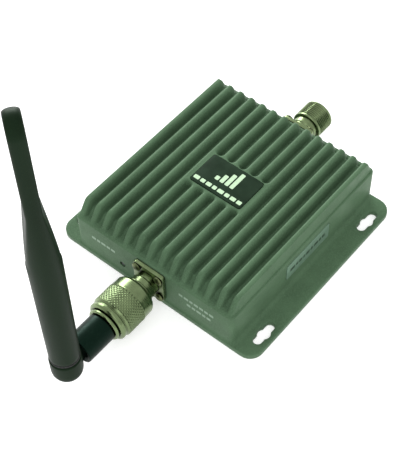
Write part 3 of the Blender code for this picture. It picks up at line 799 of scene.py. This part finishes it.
def casting_skin():
    """The casting's outside: the fins as a grid of heights, then rings down to a flat underside."""
    xs, ys = x_stations(), y_stations()
    half_x, half_y = WALL_X - LEDGE_ROUND, WALL_Y - LEDGE_ROUND
    zone = WALL_CORNER - LEDGE_ROUND
    grid_x, grid_y = np.meshgrid(xs, ys, indexing="ij")
    grid_x, grid_y = rounded_corners(grid_x, grid_y, half_x, half_y, zone)
    heights = fin_heights(grid_x, grid_y)
    shape = bmesh.new()
    verts = [[shape.verts.new((grid_x[i, j], grid_y[i, j], heights[i, j]))
              for j in range(len(ys))] for i in range(len(xs))]
    for i in range(len(xs) - 1):
        for j in range(len(ys) - 1):
            shape.faces.new((verts[i][j], verts[i + 1][j], verts[i + 1][j + 1], verts[i][j + 1]))
    last_i, last_j = len(xs) - 1, len(ys) - 1
    border = [(i, 0) for i in range(last_i)] + [(last_i, j) for j in range(last_j)]
    border += [(i, last_j) for i in range(last_i, 0, -1)] + [(0, j) for j in range(last_j, 0, -1)]
    row = [verts[i][j] for i, j in border]
    for vert in row:
        vert.co.z = WALL_TOP
    for ring_x, ring_y, corner, z in casting_rings():
        below = []
        for i, j in border:
            x = stretched_place(xs[i], half_x, zone, ring_x, corner)
            y = stretched_place(ys[j], half_y, zone, ring_y, corner)
            px, py = rounded_corners(np.array(x), np.array(y), ring_x, ring_y, corner)
            below.append(shape.verts.new((float(px), float(py), z)))
        for k in range(len(row)):
            n = (k + 1) % len(row)
            shape.faces.new((row[k], below[k], below[n], row[n]))
        row = below
    shape.faces.new(row[::-1])
    bmesh.ops.recalc_face_normals(shape, faces=shape.faces)
    return shape


def stretched_place(place, half, zone, ring_half, corner):
    """A place along one side, moved from the grid's border to a ring with other corners."""
    inner = half - zone
    if abs(place) <= inner:
        return place * (ring_half - corner) / inner
    return math.copysign(ring_half - corner + (abs(place) - inner) / zone * corner, place)


def keyhole_outline(opening, grow):
    """The outline of one slot, wide in its middle and narrow at both ends, grown all round."""
    low, high = (Vector(corner) / MM for corner in opening["box_m"])
    x = (low.x + high.x) / 2
    y = math.copysign(KEYHOLE_WIDE_Y, low.y)
    wide_r, narrow_r = KEYHOLE_WIDE_R + grow, KEYHOLE_NARROW_R + grow
    spread = math.acos(narrow_r / wide_r)
    points = []
    for turn in (0, math.pi):
        for step in range(13):
            a = turn + math.pi * step / 12
            centre_y = y + math.copysign(KEYHOLE_REACH, math.pi / 2 - turn)
            points.append((x + narrow_r * math.cos(a), centre_y + narrow_r * math.sin(a)))
        for step in range(13):
            a = turn + math.pi + spread * (step / 6 - 1)
            points.append((x + wide_r * math.cos(a), y + wide_r * math.sin(a)))
    return points


def keyhole_cutter(opening):
    """A slot that opens out a little at both faces, so that its rims come out rounded."""
    top = FLANGE_THICK
    sections = ((-1.0, 1.4), (0.0, 0.40), (0.12, 0.18), (0.4, 0.0), (top - 0.5, 0.0), (top - 0.17, 0.18),
                (top, 0.5), (top + 1.0, 1.6))
    return lofted([[(x, y, z) for x, y in keyhole_outline(opening, grow)] for z, grow in sections])


def cavity_cutter():
    """The hollow of the box, with the stepped seat of its cover."""
    seat_x, seat_y = COVER[1].x + GAP, COVER[1].y + GAP
    sections = ((seat_x, seat_y, 3.0, -1.0), (seat_x, seat_y, 3.0, COVER_SEAT),
                (CAVITY_X, CAVITY_Y, 2.0, COVER_SEAT), (CAVITY_X, CAVITY_Y, 2.0, CAVITY_TOP - 1.5),
                (CAVITY_X - 0.45, CAVITY_Y - 0.45, 1.6, CAVITY_TOP - 0.45),
                (CAVITY_X - 1.5, CAVITY_Y - 1.5, 0.8, CAVITY_TOP))
    return lofted([[(x, y, z) for x, y in rounded_rectangle(half_x, half_y, corner)]
                   for half_x, half_y, corner, z in sections])


def rounded_rectangle(half_x, half_y, corner, steps=6):
    """Points anticlockwise round a rectangle with round corners."""
    points = []
    for corners_past, (sx, sy) in enumerate(((1, 1), (-1, 1), (-1, -1), (1, -1))):
        for step in range(steps + 1):
            a = math.radians(90 * (corners_past + step / steps))
            points.append((sx * (half_x - corner) + corner * math.cos(a),
                           sy * (half_y - corner) + corner * math.sin(a)))
    return points


def wall_hole(x, end, z, radius, segments):
    """A hole through the wall at one end of the box."""
    return rod((x, end * WALL_Y, z), radius, HOLE_DEPTH, segments, axis=(0, 1, 0))


def wall_tools():
    """Holes and recesses through the casting's skin."""
    tools = [keyhole_cutter(opening) for opening in frame["record"]["physics"]["openings"]
             if "keyhole" in opening["name"]]
    low, high = BADGE
    tools.append(block((low.x - GAP, low.y - GAP, FIN_TOP - PLATE_SEAT),
                       (high.x + GAP, high.y + GAP, FIN_TOP + 2), upright=BADGE_CORNER))
    low, high = LABEL
    tools.append(block((WALL_X - PLATE_SEAT, low.y - GAP, low.z - GAP),
                       (WALL_X + 2, high.y + GAP, high.z + GAP), upright=1.0, axis=0))
    for end, kind in ((-1, "indoor_port"), (1, "outdoor_port")):
        tools.append(wall_hole(0, end, PORT_Z, PORT_HOLE_R, 48))
        tools += [wall_hole(place.x, end, place.z, SCREW_HOLE_R, 20) for place in screws(kind)]
    lamp, jack = middle("led_light_pipe"), middle("power_jack")
    tools.append(wall_hole(lamp.x, -1, lamp.z, LAMP_HOLE_R, 32))
    tools.append(wall_hole(jack.x, 1, jack.z, JACK_HOLE_R, 40))
    return merged(tools)


def bosses():
    """The posts cast inside the box, and the screw holes in them."""
    posts, holes = [], []
    high = CAVITY_TOP + 1.0
    for cover, board in zip(screws("cover"), screws("board")):
        low = COVER[1].z + GAP
        posts.append(rod((cover.x, cover.y, (low + high) / 2), COVER_POST_R, high - low, 28))
        holes.append(rod((cover.x, cover.y, 7.0), SCREW_HOLE_R, 12.0, 16))
        low = span("circuit_board")[1].z + GAP
        posts.append(rod((board.x, board.y, (low + high) / 2), BOARD_POST_R, high - low, 24))
        holes.append(rod((board.x, board.y, 14.5), BOARD_HOLE_R, 8.0, 16))
    return merged(posts), merged(holes)


def housing():
    """The die-cast box."""
    posts, holes = bosses()
    shape = carved(casting_skin(), (CUT, cavity_cutter()), (CUT, wall_tools()), (JOIN, posts), (CUT, holes))
    add("housing_casting", shape, PAINT, "housing", ["finned_housing"], sharp=32)


# --- plates and printing
def row_of_marks(start, widths, gap, mark):
    """Plain marks in a row; mark makes one from where it starts and ends."""
    marks = []
    for width in widths:
        marks.append(mark(start, start + width))
        start += width + gap
    return marks


def badge():
    """The badge: a bevelled plate with four plain rising bars over a row of plain blocks."""
    low, high = BADGE
    plate = block(low, high, edge=0.16, upright=BADGE_CORNER)
    add("badge_panel", plate, BADGE_LOOK, "housing", ["badge_plate"])
    under, over = high.z - 0.02, high.z + 0.05
    marks = []
    for number in range(4):
        x, top = -5.6 + number * 2.9, -0.1 + number * 2.6
        marks.append(block((x, -2.5, under), (x + 2.1, top, over), upright=0.5))
    marks += row_of_marks(-13.9, (3.1, 2.4, 2.8, 2.2, 3.3, 2.4, 2.9, 2.5), 0.85,
                          lambda start, end: block((start, -7.8, under), (end, -5.7, over), upright=0.45))
    add("badge_bars", merged(marks), PALE_INK, "housing")


def side_label():
    """The side wall's label: a raised rim and a row of plain dark blocks."""
    low, high = LABEL
    plate = block(low, high, edge=0.12, upright=0.9, axis=0)
    add("side_label_film", plate, FILM, "housing", ["side_label_plate"])
    z = (low.z + high.z) / 2
    marks = row_of_marks(low.y + 2.6, (3.6, 1.5, 2.4, 1.2, 2.8, 1.7, 3.2, 1.4, 2.2), 0.8,
                         lambda start, end: block((high.x - 0.02, start, z - 1.0),
                                                  (high.x + 0.03, end, z + 1.0), upright=0.2, axis=0))
    add("side_label_blocks", merged(marks), DARK_INK, "housing")


def wall_printing():
    """Plain dashes printed on the front wall where captions would be."""
    marks = []
    for x, z, widths in ((-36.5, 14.2, (2.4, 2.0, 2.6, 2.0, 2.4)),
                         (16.0, 15.4, (2.2, 2.6, 1.8, 2.4, 2.2, 2.0, 2.4)),
                         (20.5, 11.4, (2.2, 2.0, 2.6, 1.8, 2.2))):
        marks += row_of_marks(x, widths, 0.7,
                              lambda start, end: block((start, -WALL_Y - 0.04, z - 0.8),
                                                       (end, -WALL_Y + 0.02, z + 0.8), upright=0.3, axis=1))
    add("front_wall_dashes", merged(marks), FADED_INK, "housing")


# --- fasteners
def cross_recess(depth):
    """A Phillips recess that opens upwards from -depth."""
    arms = []
    for turn in (0, 90):
        arm = block((-1.25, -0.28, -depth), (1.25, 0.28, 1.0))
        for vert in arm.verts:
            if vert.co.z < 0:
                vert.co.x *= 0.45
                vert.co.y *= 0.6
        arm.transform(Matrix.Rotation(math.radians(turn), 4, "Z"))
        arms.append(arm)
    return arms


def screw_mesh(name, head_r, head_h, shank_r, length):
    """A pan-head screw with a cross recess and a cut thread; the head's seat is at height 0."""
    profile = softened([(0.0, head_h), (head_r * 0.55, head_h), (head_r, head_h * 0.5), (head_r, 0.0),
                        (shank_r, 0.0), (shank_r, -length + 0.5), (shank_r * 0.6, -length),
                        (0.0, -length)], 0.45, 3)
    profile = subdivided(profile, -length + 0.5, -0.1, 0.125)

    def thread(angle, radius, height):
        if height > -0.4 or height < -length + 0.6 or radius < shank_r - 0.05:
            return 0.0
        return 0.16 * zigzag(height / 0.5 - angle / math.tau)

    first, second = cross_recess(min(1.0, head_h * 0.75))
    for arm in (first, second):
        arm.transform(Matrix.Translation((0, 0, head_h)))
    shape = carved(turned(profile, 32, relief=thread), (CUT, first), (CUT, second))
    return finished(name, shape, ZINC)


def fasteners():
    """Every screw, each turned to its own angle as a hand leaves it."""
    port_mesh = screw_mesh("port_screw", 2.3, 1.2, 1.35, 8.0)
    cover_mesh = screw_mesh("cover_screw", 2.7, 0.7, 1.35, 9.0)
    board_mesh = screw_mesh("board_screw", 2.2, 1.4, 1.0, 6.0)
    for kind, mesh, out, head in (("indoor_port_screw", port_mesh, Vector((0, -1, 0)), 1.2),
                                  ("outdoor_port_screw", port_mesh, Vector((0, 1, 0)), 1.2),
                                  ("cover_screw", cover_mesh, Vector((0, 0, -1)), 0.7),
                                  ("board_screw", board_mesh, Vector((0, 0, -1)), 1.4)):
        for number in range(1, 5):
            node = f"{kind}_{number}"
            low, high = span(node)
            centre = (low + high) / 2
            tip = max(low.dot(out), high.dot(out))
            seat = centre + out * (tip - head - centre.dot(out))
            turn = math.radians(37 * number + 11 * len(kind))
            place = along(seat, out) @ Matrix.Rotation(turn, 4, "Z")
            add_mesh(f"{node}_cut", mesh, "housing", [node], place)


# --- N connectors
def thread_relief(low, high, radius_at):
    """A helical thread on one radius between two heights, fading in and out over half a turn."""
    def relief(angle, radius, height):
        if abs(radius - radius_at) > 0.02:
            return 0.0
        fade = min(1.0, max(0.0, min(height - low, high - height) / (0.5 * THREAD_PITCH)))
        wave = zigzag(height / THREAD_PITCH - angle / math.tau)
        return THREAD_DEPTH * fade * min(1.0, max(0.0, 1.35 * wave - 0.15))
    return relief


def port(name, end):
    """A panel N socket: threaded barrel, neck and square flange in one piece."""
    r = THREAD_R
    thread_low, thread_high = 8.9, 19.4
    outer = softened([(0.0, 20.0), (r - 0.6, 20.0), (r, thread_high), (r, thread_low), (r - 0.4, 8.5),
                      (6.5, 8.5), (6.5, 5.4), (6.1, 5.0), (6.1, 1.0), (5.5, 1.0), (5.5, -6.0), (0.0, -6.0)],
                     0.22, 2)
    outer = subdivided(outer, thread_low, thread_high, THREAD_PITCH / 6)
    body = turned(outer, 96, relief=thread_relief(9.6, 19.0, r))
    half = PORT_FLANGE / 2
    plate = block((-half, -half, GAP), (half, half, GAP + PORT_FLANGE_THICK), edge=0.25, upright=1.6)
    bore = lathe([(0.0, 21.3), (6.2, 21.3), (4.3, 19.5), (4.3, 9.3), (3.9, 9.3), (3.9, -8.0), (0.0, -8.0)],
                 0.15, 2, 64)
    holes = [rod((place.x, end * -(place.z - PORT_Z), 1.3), SCREW_HOLE_R, 6.0, 20)
             for place in screws(name)]
    shape = carved(body, (JOIN, plate), (CUT, bore), (CUT, merged(holes)))
    place = along((0, end * WALL_Y, PORT_Z), (0, end, 0))
    add(f"{name}_socket", shape, NICKEL, "housing", [f"{name}_body"], place)
    sleeve = lathe([(3.6, 9.0), (3.6, -6.8), (1.8, -6.8), (1.8, 9.0)], 0.2, 2, 48, closed=True)
    add(f"{name}_dielectric", sleeve, PTFE, "housing", [f"{name}_insulator"], place)
    contact = lathe([(0.0, 10.8), (1.1, 10.8), (1.1, 16.2), (1.2, 16.3), (1.4, 16.3), (1.5, 15.9),
                     (1.5, -8.0), (0.9, -8.0), (0.9, -14.0), (0.0, -14.0)], 0.12, 2, 32)
    slots = [block((-3, -0.12, 11.5), (3, 0.12, 18)), block((-0.12, -3, 11.5), (0.12, 3, 18))]
    contact = carved(contact, (CUT, slots[0]), (CUT, slots[1]))
    add(f"{name}_receptacle", contact, BRASS, "housing", [f"{name}_contact"], place)


def coupling_nut():
    """The plug's nut: a diamond knurl between two plain bands, the rear one grooved."""
    low, high = span("coupling_nut")
    length = high.y - low.y
    r, nose, tail, groove = (high.x - low.x) / 2, NUT_NOSE_R, NUT_TAIL_R, NUT_TAIL_R - 0.35
    profile = [(6.9, length), (tail - 0.9, length), (tail, length - 0.8), (tail, 18.2), (groove, 18.0),
               (groove, 17.5), (tail, 17.3), (tail, 17.1), (r, KNURL_HIGH), (r, KNURL_LOW),
               (NUT_SHOULDER_R, 6.3), (nose, 1.4), (nose - 0.9, 0.0),
               (8.9, 0.0), (8.25, 0.65), (8.25, 12.5), (6.9, 12.5)]
    profile = softened(profile, 0.2, 2, closed=True)
    tooth = math.tau * r / KNURL_TEETH
    profile = subdivided(profile + profile[:1], KNURL_LOW, KNURL_HIGH, tooth / 6)[:-1]

    def cut(angle, radius, height):
        if abs(radius - r) >= 0.02 or not KNURL_LOW <= height <= KNURL_HIGH:
            return 0.0
        turns = angle / math.tau * KNURL_TEETH
        rise = (height - KNURL_LOW) / tooth
        return KNURL_DEPTH * (1 - min(1.0, 1.1 * min(zigzag(turns + rise), zigzag(turns - rise))))

    shape = turned(profile, KNURL_TEETH * 6, closed=True, relief=cut)
    place = along((0, high.y, PORT_Z), (0, -1, 0))
    add("coupling_nut_knurled", shape, NICKEL, "coupling_nut", ["coupling_nut"], place, sharp=60)


def plug():
    """The plug's body, whose ring shows behind the nut."""
    shape = lathe([(4.5, 92.0), (4.5, 86.9), (8.0, 86.9), (8.4, 86.5), (8.4, 85.5), (8.1, 85.2),
                   (6.6, 85.2), (6.6, 76.5), (7.7, 76.5), (7.7, 75.4), (4.0, 75.4), (4.0, 66.7),
                   (3.3, 66.7), (3.3, 92.0)], 0.2, 2, 72, closed=True)
    place = along((0, 0, PORT_Z), (0, -1, 0))
    add("plug_shell", shape, NICKEL, "antenna_base", ["plug_body"], place)


# --- antenna
def elbow():
    """The black stub, dished for the swing of the knuckle, its hinge tongue and the pin."""
    low, high = span("elbow_stub")
    r = (high.x - low.x) / 2
    front, end, pin_out = -high.y, STUB_END, -PIN.y
    barrel = lathe([(0.0, end), (r - 0.2, end), (r, end - 0.2), (r, front), (0.0, front)], 0.7, 4, 80)
    half, tongue = TONGUE_HALF, TONGUE_R
    arm = block((-half, -tongue, end - 4.5), (half, tongue, pin_out))
    knob = lathe([(0.0, half), (tongue, half), (tongue, -half), (0.0, -half)], 0.35, 3, 64)
    swing, ball = PIN.z - KNUCKLE_DOME, KNUCKLE_R + GAP
    bulge = [(swing + ball * math.sin(a), ball * math.cos(a))
             for a in (math.radians(step * 7.5) for step in range(1, 24))]
    dish = turned([(0.0, ball), (swing, ball)] + bulge + [(swing, -ball), (0.0, -ball)], 96)
    for tool in (knob, dish):
        tool.transform(Matrix.Translation((0, 0, pin_out)) @ Matrix.Rotation(math.radians(90), 4, "Y"))
    shape = carved(barrel, (CUT, dish), (JOIN, arm), (JOIN, knob),
                   (CUT, rod((0, 0, front), 4.8, 12.0, 48)),
                   (CUT, rod((0, 0, pin_out), HINGE_HOLE_R, 20.0, 32, axis=(1, 0, 0))))
    add("elbow_moulding", shape, STUB, "antenna_base", ["elbow_stub"],
        along((0, 0, PORT_Z), (0, -1, 0)))
    pin = lathe([(0.0, 6.0), (1.5, 6.0), (1.5, -6.0), (0.0, -6.0)], 0.35, 3, 32)
    add("hinge_rivet", pin, ZINC, "antenna_base", ["hinge_pin"], along(PIN, (1, 0, 0)))


def knuckle():
    """The whip's domed foot, slotted for the tongue."""
    r, dome_z, top = KNUCKLE_R, KNUCKLE_DOME, KNUCKLE_TOP
    dome = [(r * math.cos(a), dome_z - r * math.sin(a))
            for a in (math.radians(step * 6) for step in range(15))] + [(0.0, dome_z - r)]
    upper = [(0.0, 31.0), (5.0, 31.0), (5.3, 30.6), (5.3, 20.6), (5.9, 20.6), (5.9, top),
             (r - 0.5, top), (r, top - 0.5), (r, dome_z + 0.6)]
    half, reach = TONGUE_HALF + GAP, TONGUE_R + 0.4
    slot = block((-half, -reach, -2), (half, 12, PIN.z + reach))
    shape = carved(turned(softened(upper, 0.3, 3) + dome, 80), (CUT, slot),
                   (CUT, rod((0, 0, PIN.z), HINGE_HOLE_R, 12.6, 32, axis=(1, 0, 0))))
    place = Matrix.Translation(Vector((0, PIN.y, 0)) * MM)
    add("whip_foot", shape, WHIP, "whip", ["whip_knuckle"], place)
    ring = lathe([(6.5, 20.6), (6.8, 20.3), (6.8, 19.5), (6.5, 19.2), (6.2, 19.2), (6.2, 20.6)],
                 0.15, 2, 72, closed=True)
    add("collar_seal", ring, RUBBER, "whip", ["collar_ring"], place)


def sleeve_radius(z):
    """Radius of the whip's moulding before it is flattened."""
    if z > WHIP_CENTRE:
        return math.sqrt(max(0.0, WHIP_R ** 2 - (z - WHIP_CENTRE) ** 2))
    t = min(1.0, (z - WHIP_FOOT) / (WHIP_SHOULDER - WHIP_FOOT))
    grown = WHIP_FOOT_R + (WHIP_R - WHIP_FOOT_R) * t
    lip = 0.5
    if z < WHIP_FOOT + lip:
        grown -= lip - math.sqrt(lip ** 2 - (WHIP_FOOT + lip - z) ** 2)
    return grown


def blade_half(z):
    """Half thickness between the whip's two flats."""
    t = min(1.0, max(0.0, (z - WHIP_SHOULDER) / (WHIP_BLADE - WHIP_SHOULDER)))
    return WHIP_R + (BLADE_HALF - WHIP_R) * t


def flattened(x, half):
    """A distance from the blade's middle plane, kept within its flats with an eased edge."""
    kept = -math.log(math.exp(-abs(x) / BLADE_EASE) + math.exp(-half / BLADE_EASE)) * BLADE_EASE
    return math.copysign(max(0.0, min(abs(x), kept)), x)


def whip():
    """The whip: round below, and flattened to a blade with a round crown above."""
    foot, shoulder, blade, centre, radius = WHIP_FOOT, WHIP_SHOULDER, WHIP_BLADE, WHIP_CENTRE, WHIP_R
    turn = Matrix.Rotation(BLADE_TURN, 3, "Z")
    heights = [foot + 0.5 * (1 - math.cos(math.radians(a))) for a in range(0, 91, 30)]
    heights += list(np.linspace(foot + 2.0, shoulder - 2, 12))
    heights += list(np.linspace(shoulder - 1, blade + 2, 24))
    heights += list(np.linspace(blade + 5, centre, 8))
    heights += [centre + radius * math.sin(math.radians(a)) for a in (*range(6, 90, 6), 88.5)]
    rings = []
    for z in heights:
        r, half = sleeve_radius(z), blade_half(z)
        flat = half < r + 2 * BLADE_EASE and z > shoulder - 2
        ring = []
        for index in range(72):
            a = math.tau * index / 72
            x, y = r * math.cos(a), r * math.sin(a)
            ring.append(tuple(turn @ Vector((flattened(x, half) if flat else x, y, z))))
        rings.append(ring)
    shape = carved(lofted(rings), (CUT, rod((0, 0, 50.0), SPIGOT_BORE_R, 64.0, 48)),
                   (CUT, rod((0, 0, 108.0), ELEMENT_BORE_R, 96.0, 24)))
    add("whip_sleeve", shape, WHIP, "whip", ["antenna_sleeve"],
        Matrix.Translation(Vector((0, PIN.y, 0)) * MM), sharp=50)


# --- end wall fittings
def light_window():
    """The light pipe in the front wall."""
    low, high = span("led_light_pipe")
    centre, reach, r = middle("led_light_pipe"), high.y - low.y, 1.45
    shape = lathe([(0.0, reach), (1.0, reach), (r, reach - 0.35), (r, 7.2), (2.3, 7.2), (2.3, 6.2), (r, 6.2),
                   (r, 0.0), (0.0, 0.0)], 0.2, 3, 40)
    add("lamp_window", shape, LENS, "housing", ["led_light_pipe"],
        along((centre.x, high.y, centre.z), (0, -1, 0)))


def power_inlet():
    """The panel jack on the rear wall, its pin and its hexagon nut."""
    centre = middle("power_jack")
    place = along((centre.x, WALL_Y, centre.z), (0, 1, 0))
    r, inside = 4.0, WALL_Y - CAVITY_Y + GAP
    barrel = softened([(3.4, 3.2), (r, 2.8), (r, -inside), (5.4, -inside), (5.4, -8.0), (2.9, -8.0),
                       (2.9, 3.2)], 0.25, 2, closed=True)
    barrel = subdivided(barrel, -3.0, 2.6, 0.125)

    def thread(angle, radius, height):
        if abs(radius - r) > 0.02 or not -2.8 < height < 2.4:
            return 0.0
        return 0.2 * zigzag(height / 0.75 - angle / math.tau)

    add("power_inlet_barrel", turned(barrel, 64, closed=True, relief=thread), PLASTIC, "housing",
        ["power_jack"], place)
    pin = lathe([(0.0, 1.5), (0.7, 1.5), (1.0, 1.0), (1.0, -9.0), (0.0, -9.0)], 0.25, 3, 24)
    add("power_inlet_pin", pin, NICKEL, "housing", ["power_jack_pin"], place)
    nut = lathe([(0.0, 2.1), (5.3, 2.1), (6.3, 1.5), (6.3, 0.3), (0.0, 0.3)], 0.1, 2, 96)
    hexagon = rod((0, 0, 1.2), 6.2, 6.0, 6)
    shape = carved(nut, (KEEP, hexagon), (CUT, rod((0, 0, 1.2), JACK_HOLE_R, 6.0, 64)))
    add("power_inlet_nut", shape, NICKEL, "housing", ["power_jack_nut"], place)


def cover():
    """The flat cover under the box, with sunk screw seats."""
    low, high = COVER
    seats, holes = [], []
    for place in screws("cover"):
        seats.append(turned([(0.0, 1.15), (3.1, 1.15), (3.1, 0.25), (3.6, -0.25), (0.0, -0.25)], 40))
        seats[-1].transform(Matrix.Translation((place.x, place.y, 0)))
        holes.append(rod((place.x, place.y, 1.4), SCREW_HOLE_R, 6.0, 24))
    plate = block(low, high, edge=0.3, upright=2.7)
    shape = carved(plate, (CUT, merged(seats)), (CUT, merged(holes)))
    add("cover_plate", shape, PAINT, "housing", ["bottom_cover"])


# --- CAD nodes that stay
def kept_nodes():
    """Finishes for the inner CAD pieces, which keep their own meshes."""
    looks = {
        BOARD: ["circuit_board"],
        PLASTIC: ["uplink_power_amplifier", "downlink_power_amplifier", "microcontroller",
                  "voltage_regulator", "power_inductor"],
        TIN: ["uplink_shield_can", "downlink_shield_can", "filter_capacitor_1", "filter_capacitor_2"],
        PAD: ["uplink_thermal_pad", "downlink_thermal_pad"],
        CERAMIC: ["indoor_duplexer", "outdoor_duplexer"],
        LENS: ["status_led"],
        RUBBER: ["cover_gasket", "plug_gasket"],
        PTFE: ["plug_insulator"],
        BRASS: ["plug_pin", "radiating_element"],
    }
    for look, names in looks.items():
        for name in names:
            node = frame["nodes"][name]
            node.data.materials.clear()
            node.data.materials.append(look)


# --- floor, light and camera
def pale_floor():
    """A plain pale surface under the box."""
    bpy.ops.mesh.primitive_plane_add(size=6.0, location=(0, 0, -0.0002))
    floor = bpy.context.object
    floor.name = "floor"
    look = Look("floor_paper", (0.80, 0.80, 0.80), 0.7, specular=0.2)
    look.colour(look.ramp(look.noise(30.0), (0.3, 0.79), (0.7, 0.81)))
    look.shader.inputs["Emission Color"].default_value = (1.0, 1.0, 1.0, 1.0)
    look.shader.inputs["Emission Strength"].default_value = 0.50
    floor.data.materials.append(look.made)


def softbox(name, place, target, size, power):
    """A rectangular studio light facing a point."""
    lamp = bpy.data.lights.new(name, "AREA")
    lamp.shape = "RECTANGLE"
    lamp.size, lamp.size_y = size
    lamp.energy = power
    item = bpy.data.objects.new(name, lamp)
    item.location = place
    item.rotation_mode = "QUATERNION"
    item.rotation_quaternion = (Vector(target) - Vector(place)).to_track_quat("-Z", "Y")
    bpy.context.scene.collection.objects.link(item)


def studio():
    """A white room with a large light behind on the left and softer ones above and in front."""
    world = bpy.data.worlds.new("studio")
    world.use_nodes = True
    world.node_tree.nodes["Background"].inputs["Color"].default_value = (1.0, 1.0, 1.0, 1.0)
    world.node_tree.nodes["Background"].inputs["Strength"].default_value = 0.95
    bpy.context.scene.world = world
    bpy.context.scene.view_settings.view_transform = "Standard"
    softbox("back_left", (-1.1, 0.75, 0.55), (0, 0, 0.02), (0.9, 0.7), 21.0)
    softbox("overhead", (0.25, -0.30, 1.3), (0, 0, 0), (1.0, 1.0), 2.5)
    softbox("front", (0.5, -1.1, 0.7), (0, 0, 0.02), (0.8, 0.6), 2.0)


def camera():
    """The photograph's view: from above the antenna's end, a little rolled."""
    azimuth, elevation, roll = math.radians(40.33), math.radians(52.69), math.radians(1.385)
    target = Vector((0.00130, -0.01468, 0.01340))
    distance = 0.5368
    back = Vector((math.sin(azimuth) * math.cos(elevation), -math.cos(azimuth) * math.cos(elevation),
                   math.sin(elevation)))
    data = bpy.data.cameras.new("camera")
    data.lens = 92.03
    data.clip_start, data.clip_end = 0.01, 20.0
    item = bpy.data.objects.new("camera", data)
    item.location = target + back * distance
    item.rotation_mode = "QUATERNION"
    level = (-back).to_track_quat("-Z", "Y")
    item.rotation_quaternion = Matrix.Rotation(-roll, 3, back).to_quaternion() @ level
    bpy.context.scene.collection.objects.link(item)
    bpy.context.scene.camera = item


def main():
    """Every piece, then the floor, the lights and the camera."""
    housing()
    badge()
    side_label()
    wall_printing()
    cover()
    fasteners()
    port("indoor_port", -1)
    port("outdoor_port", 1)
    coupling_nut()
    plug()
    elbow()
    knuckle()
    whip()
    light_window()
    power_inlet()
    kept_nodes()
    pale_floor()
    studio()
    camera()


main()
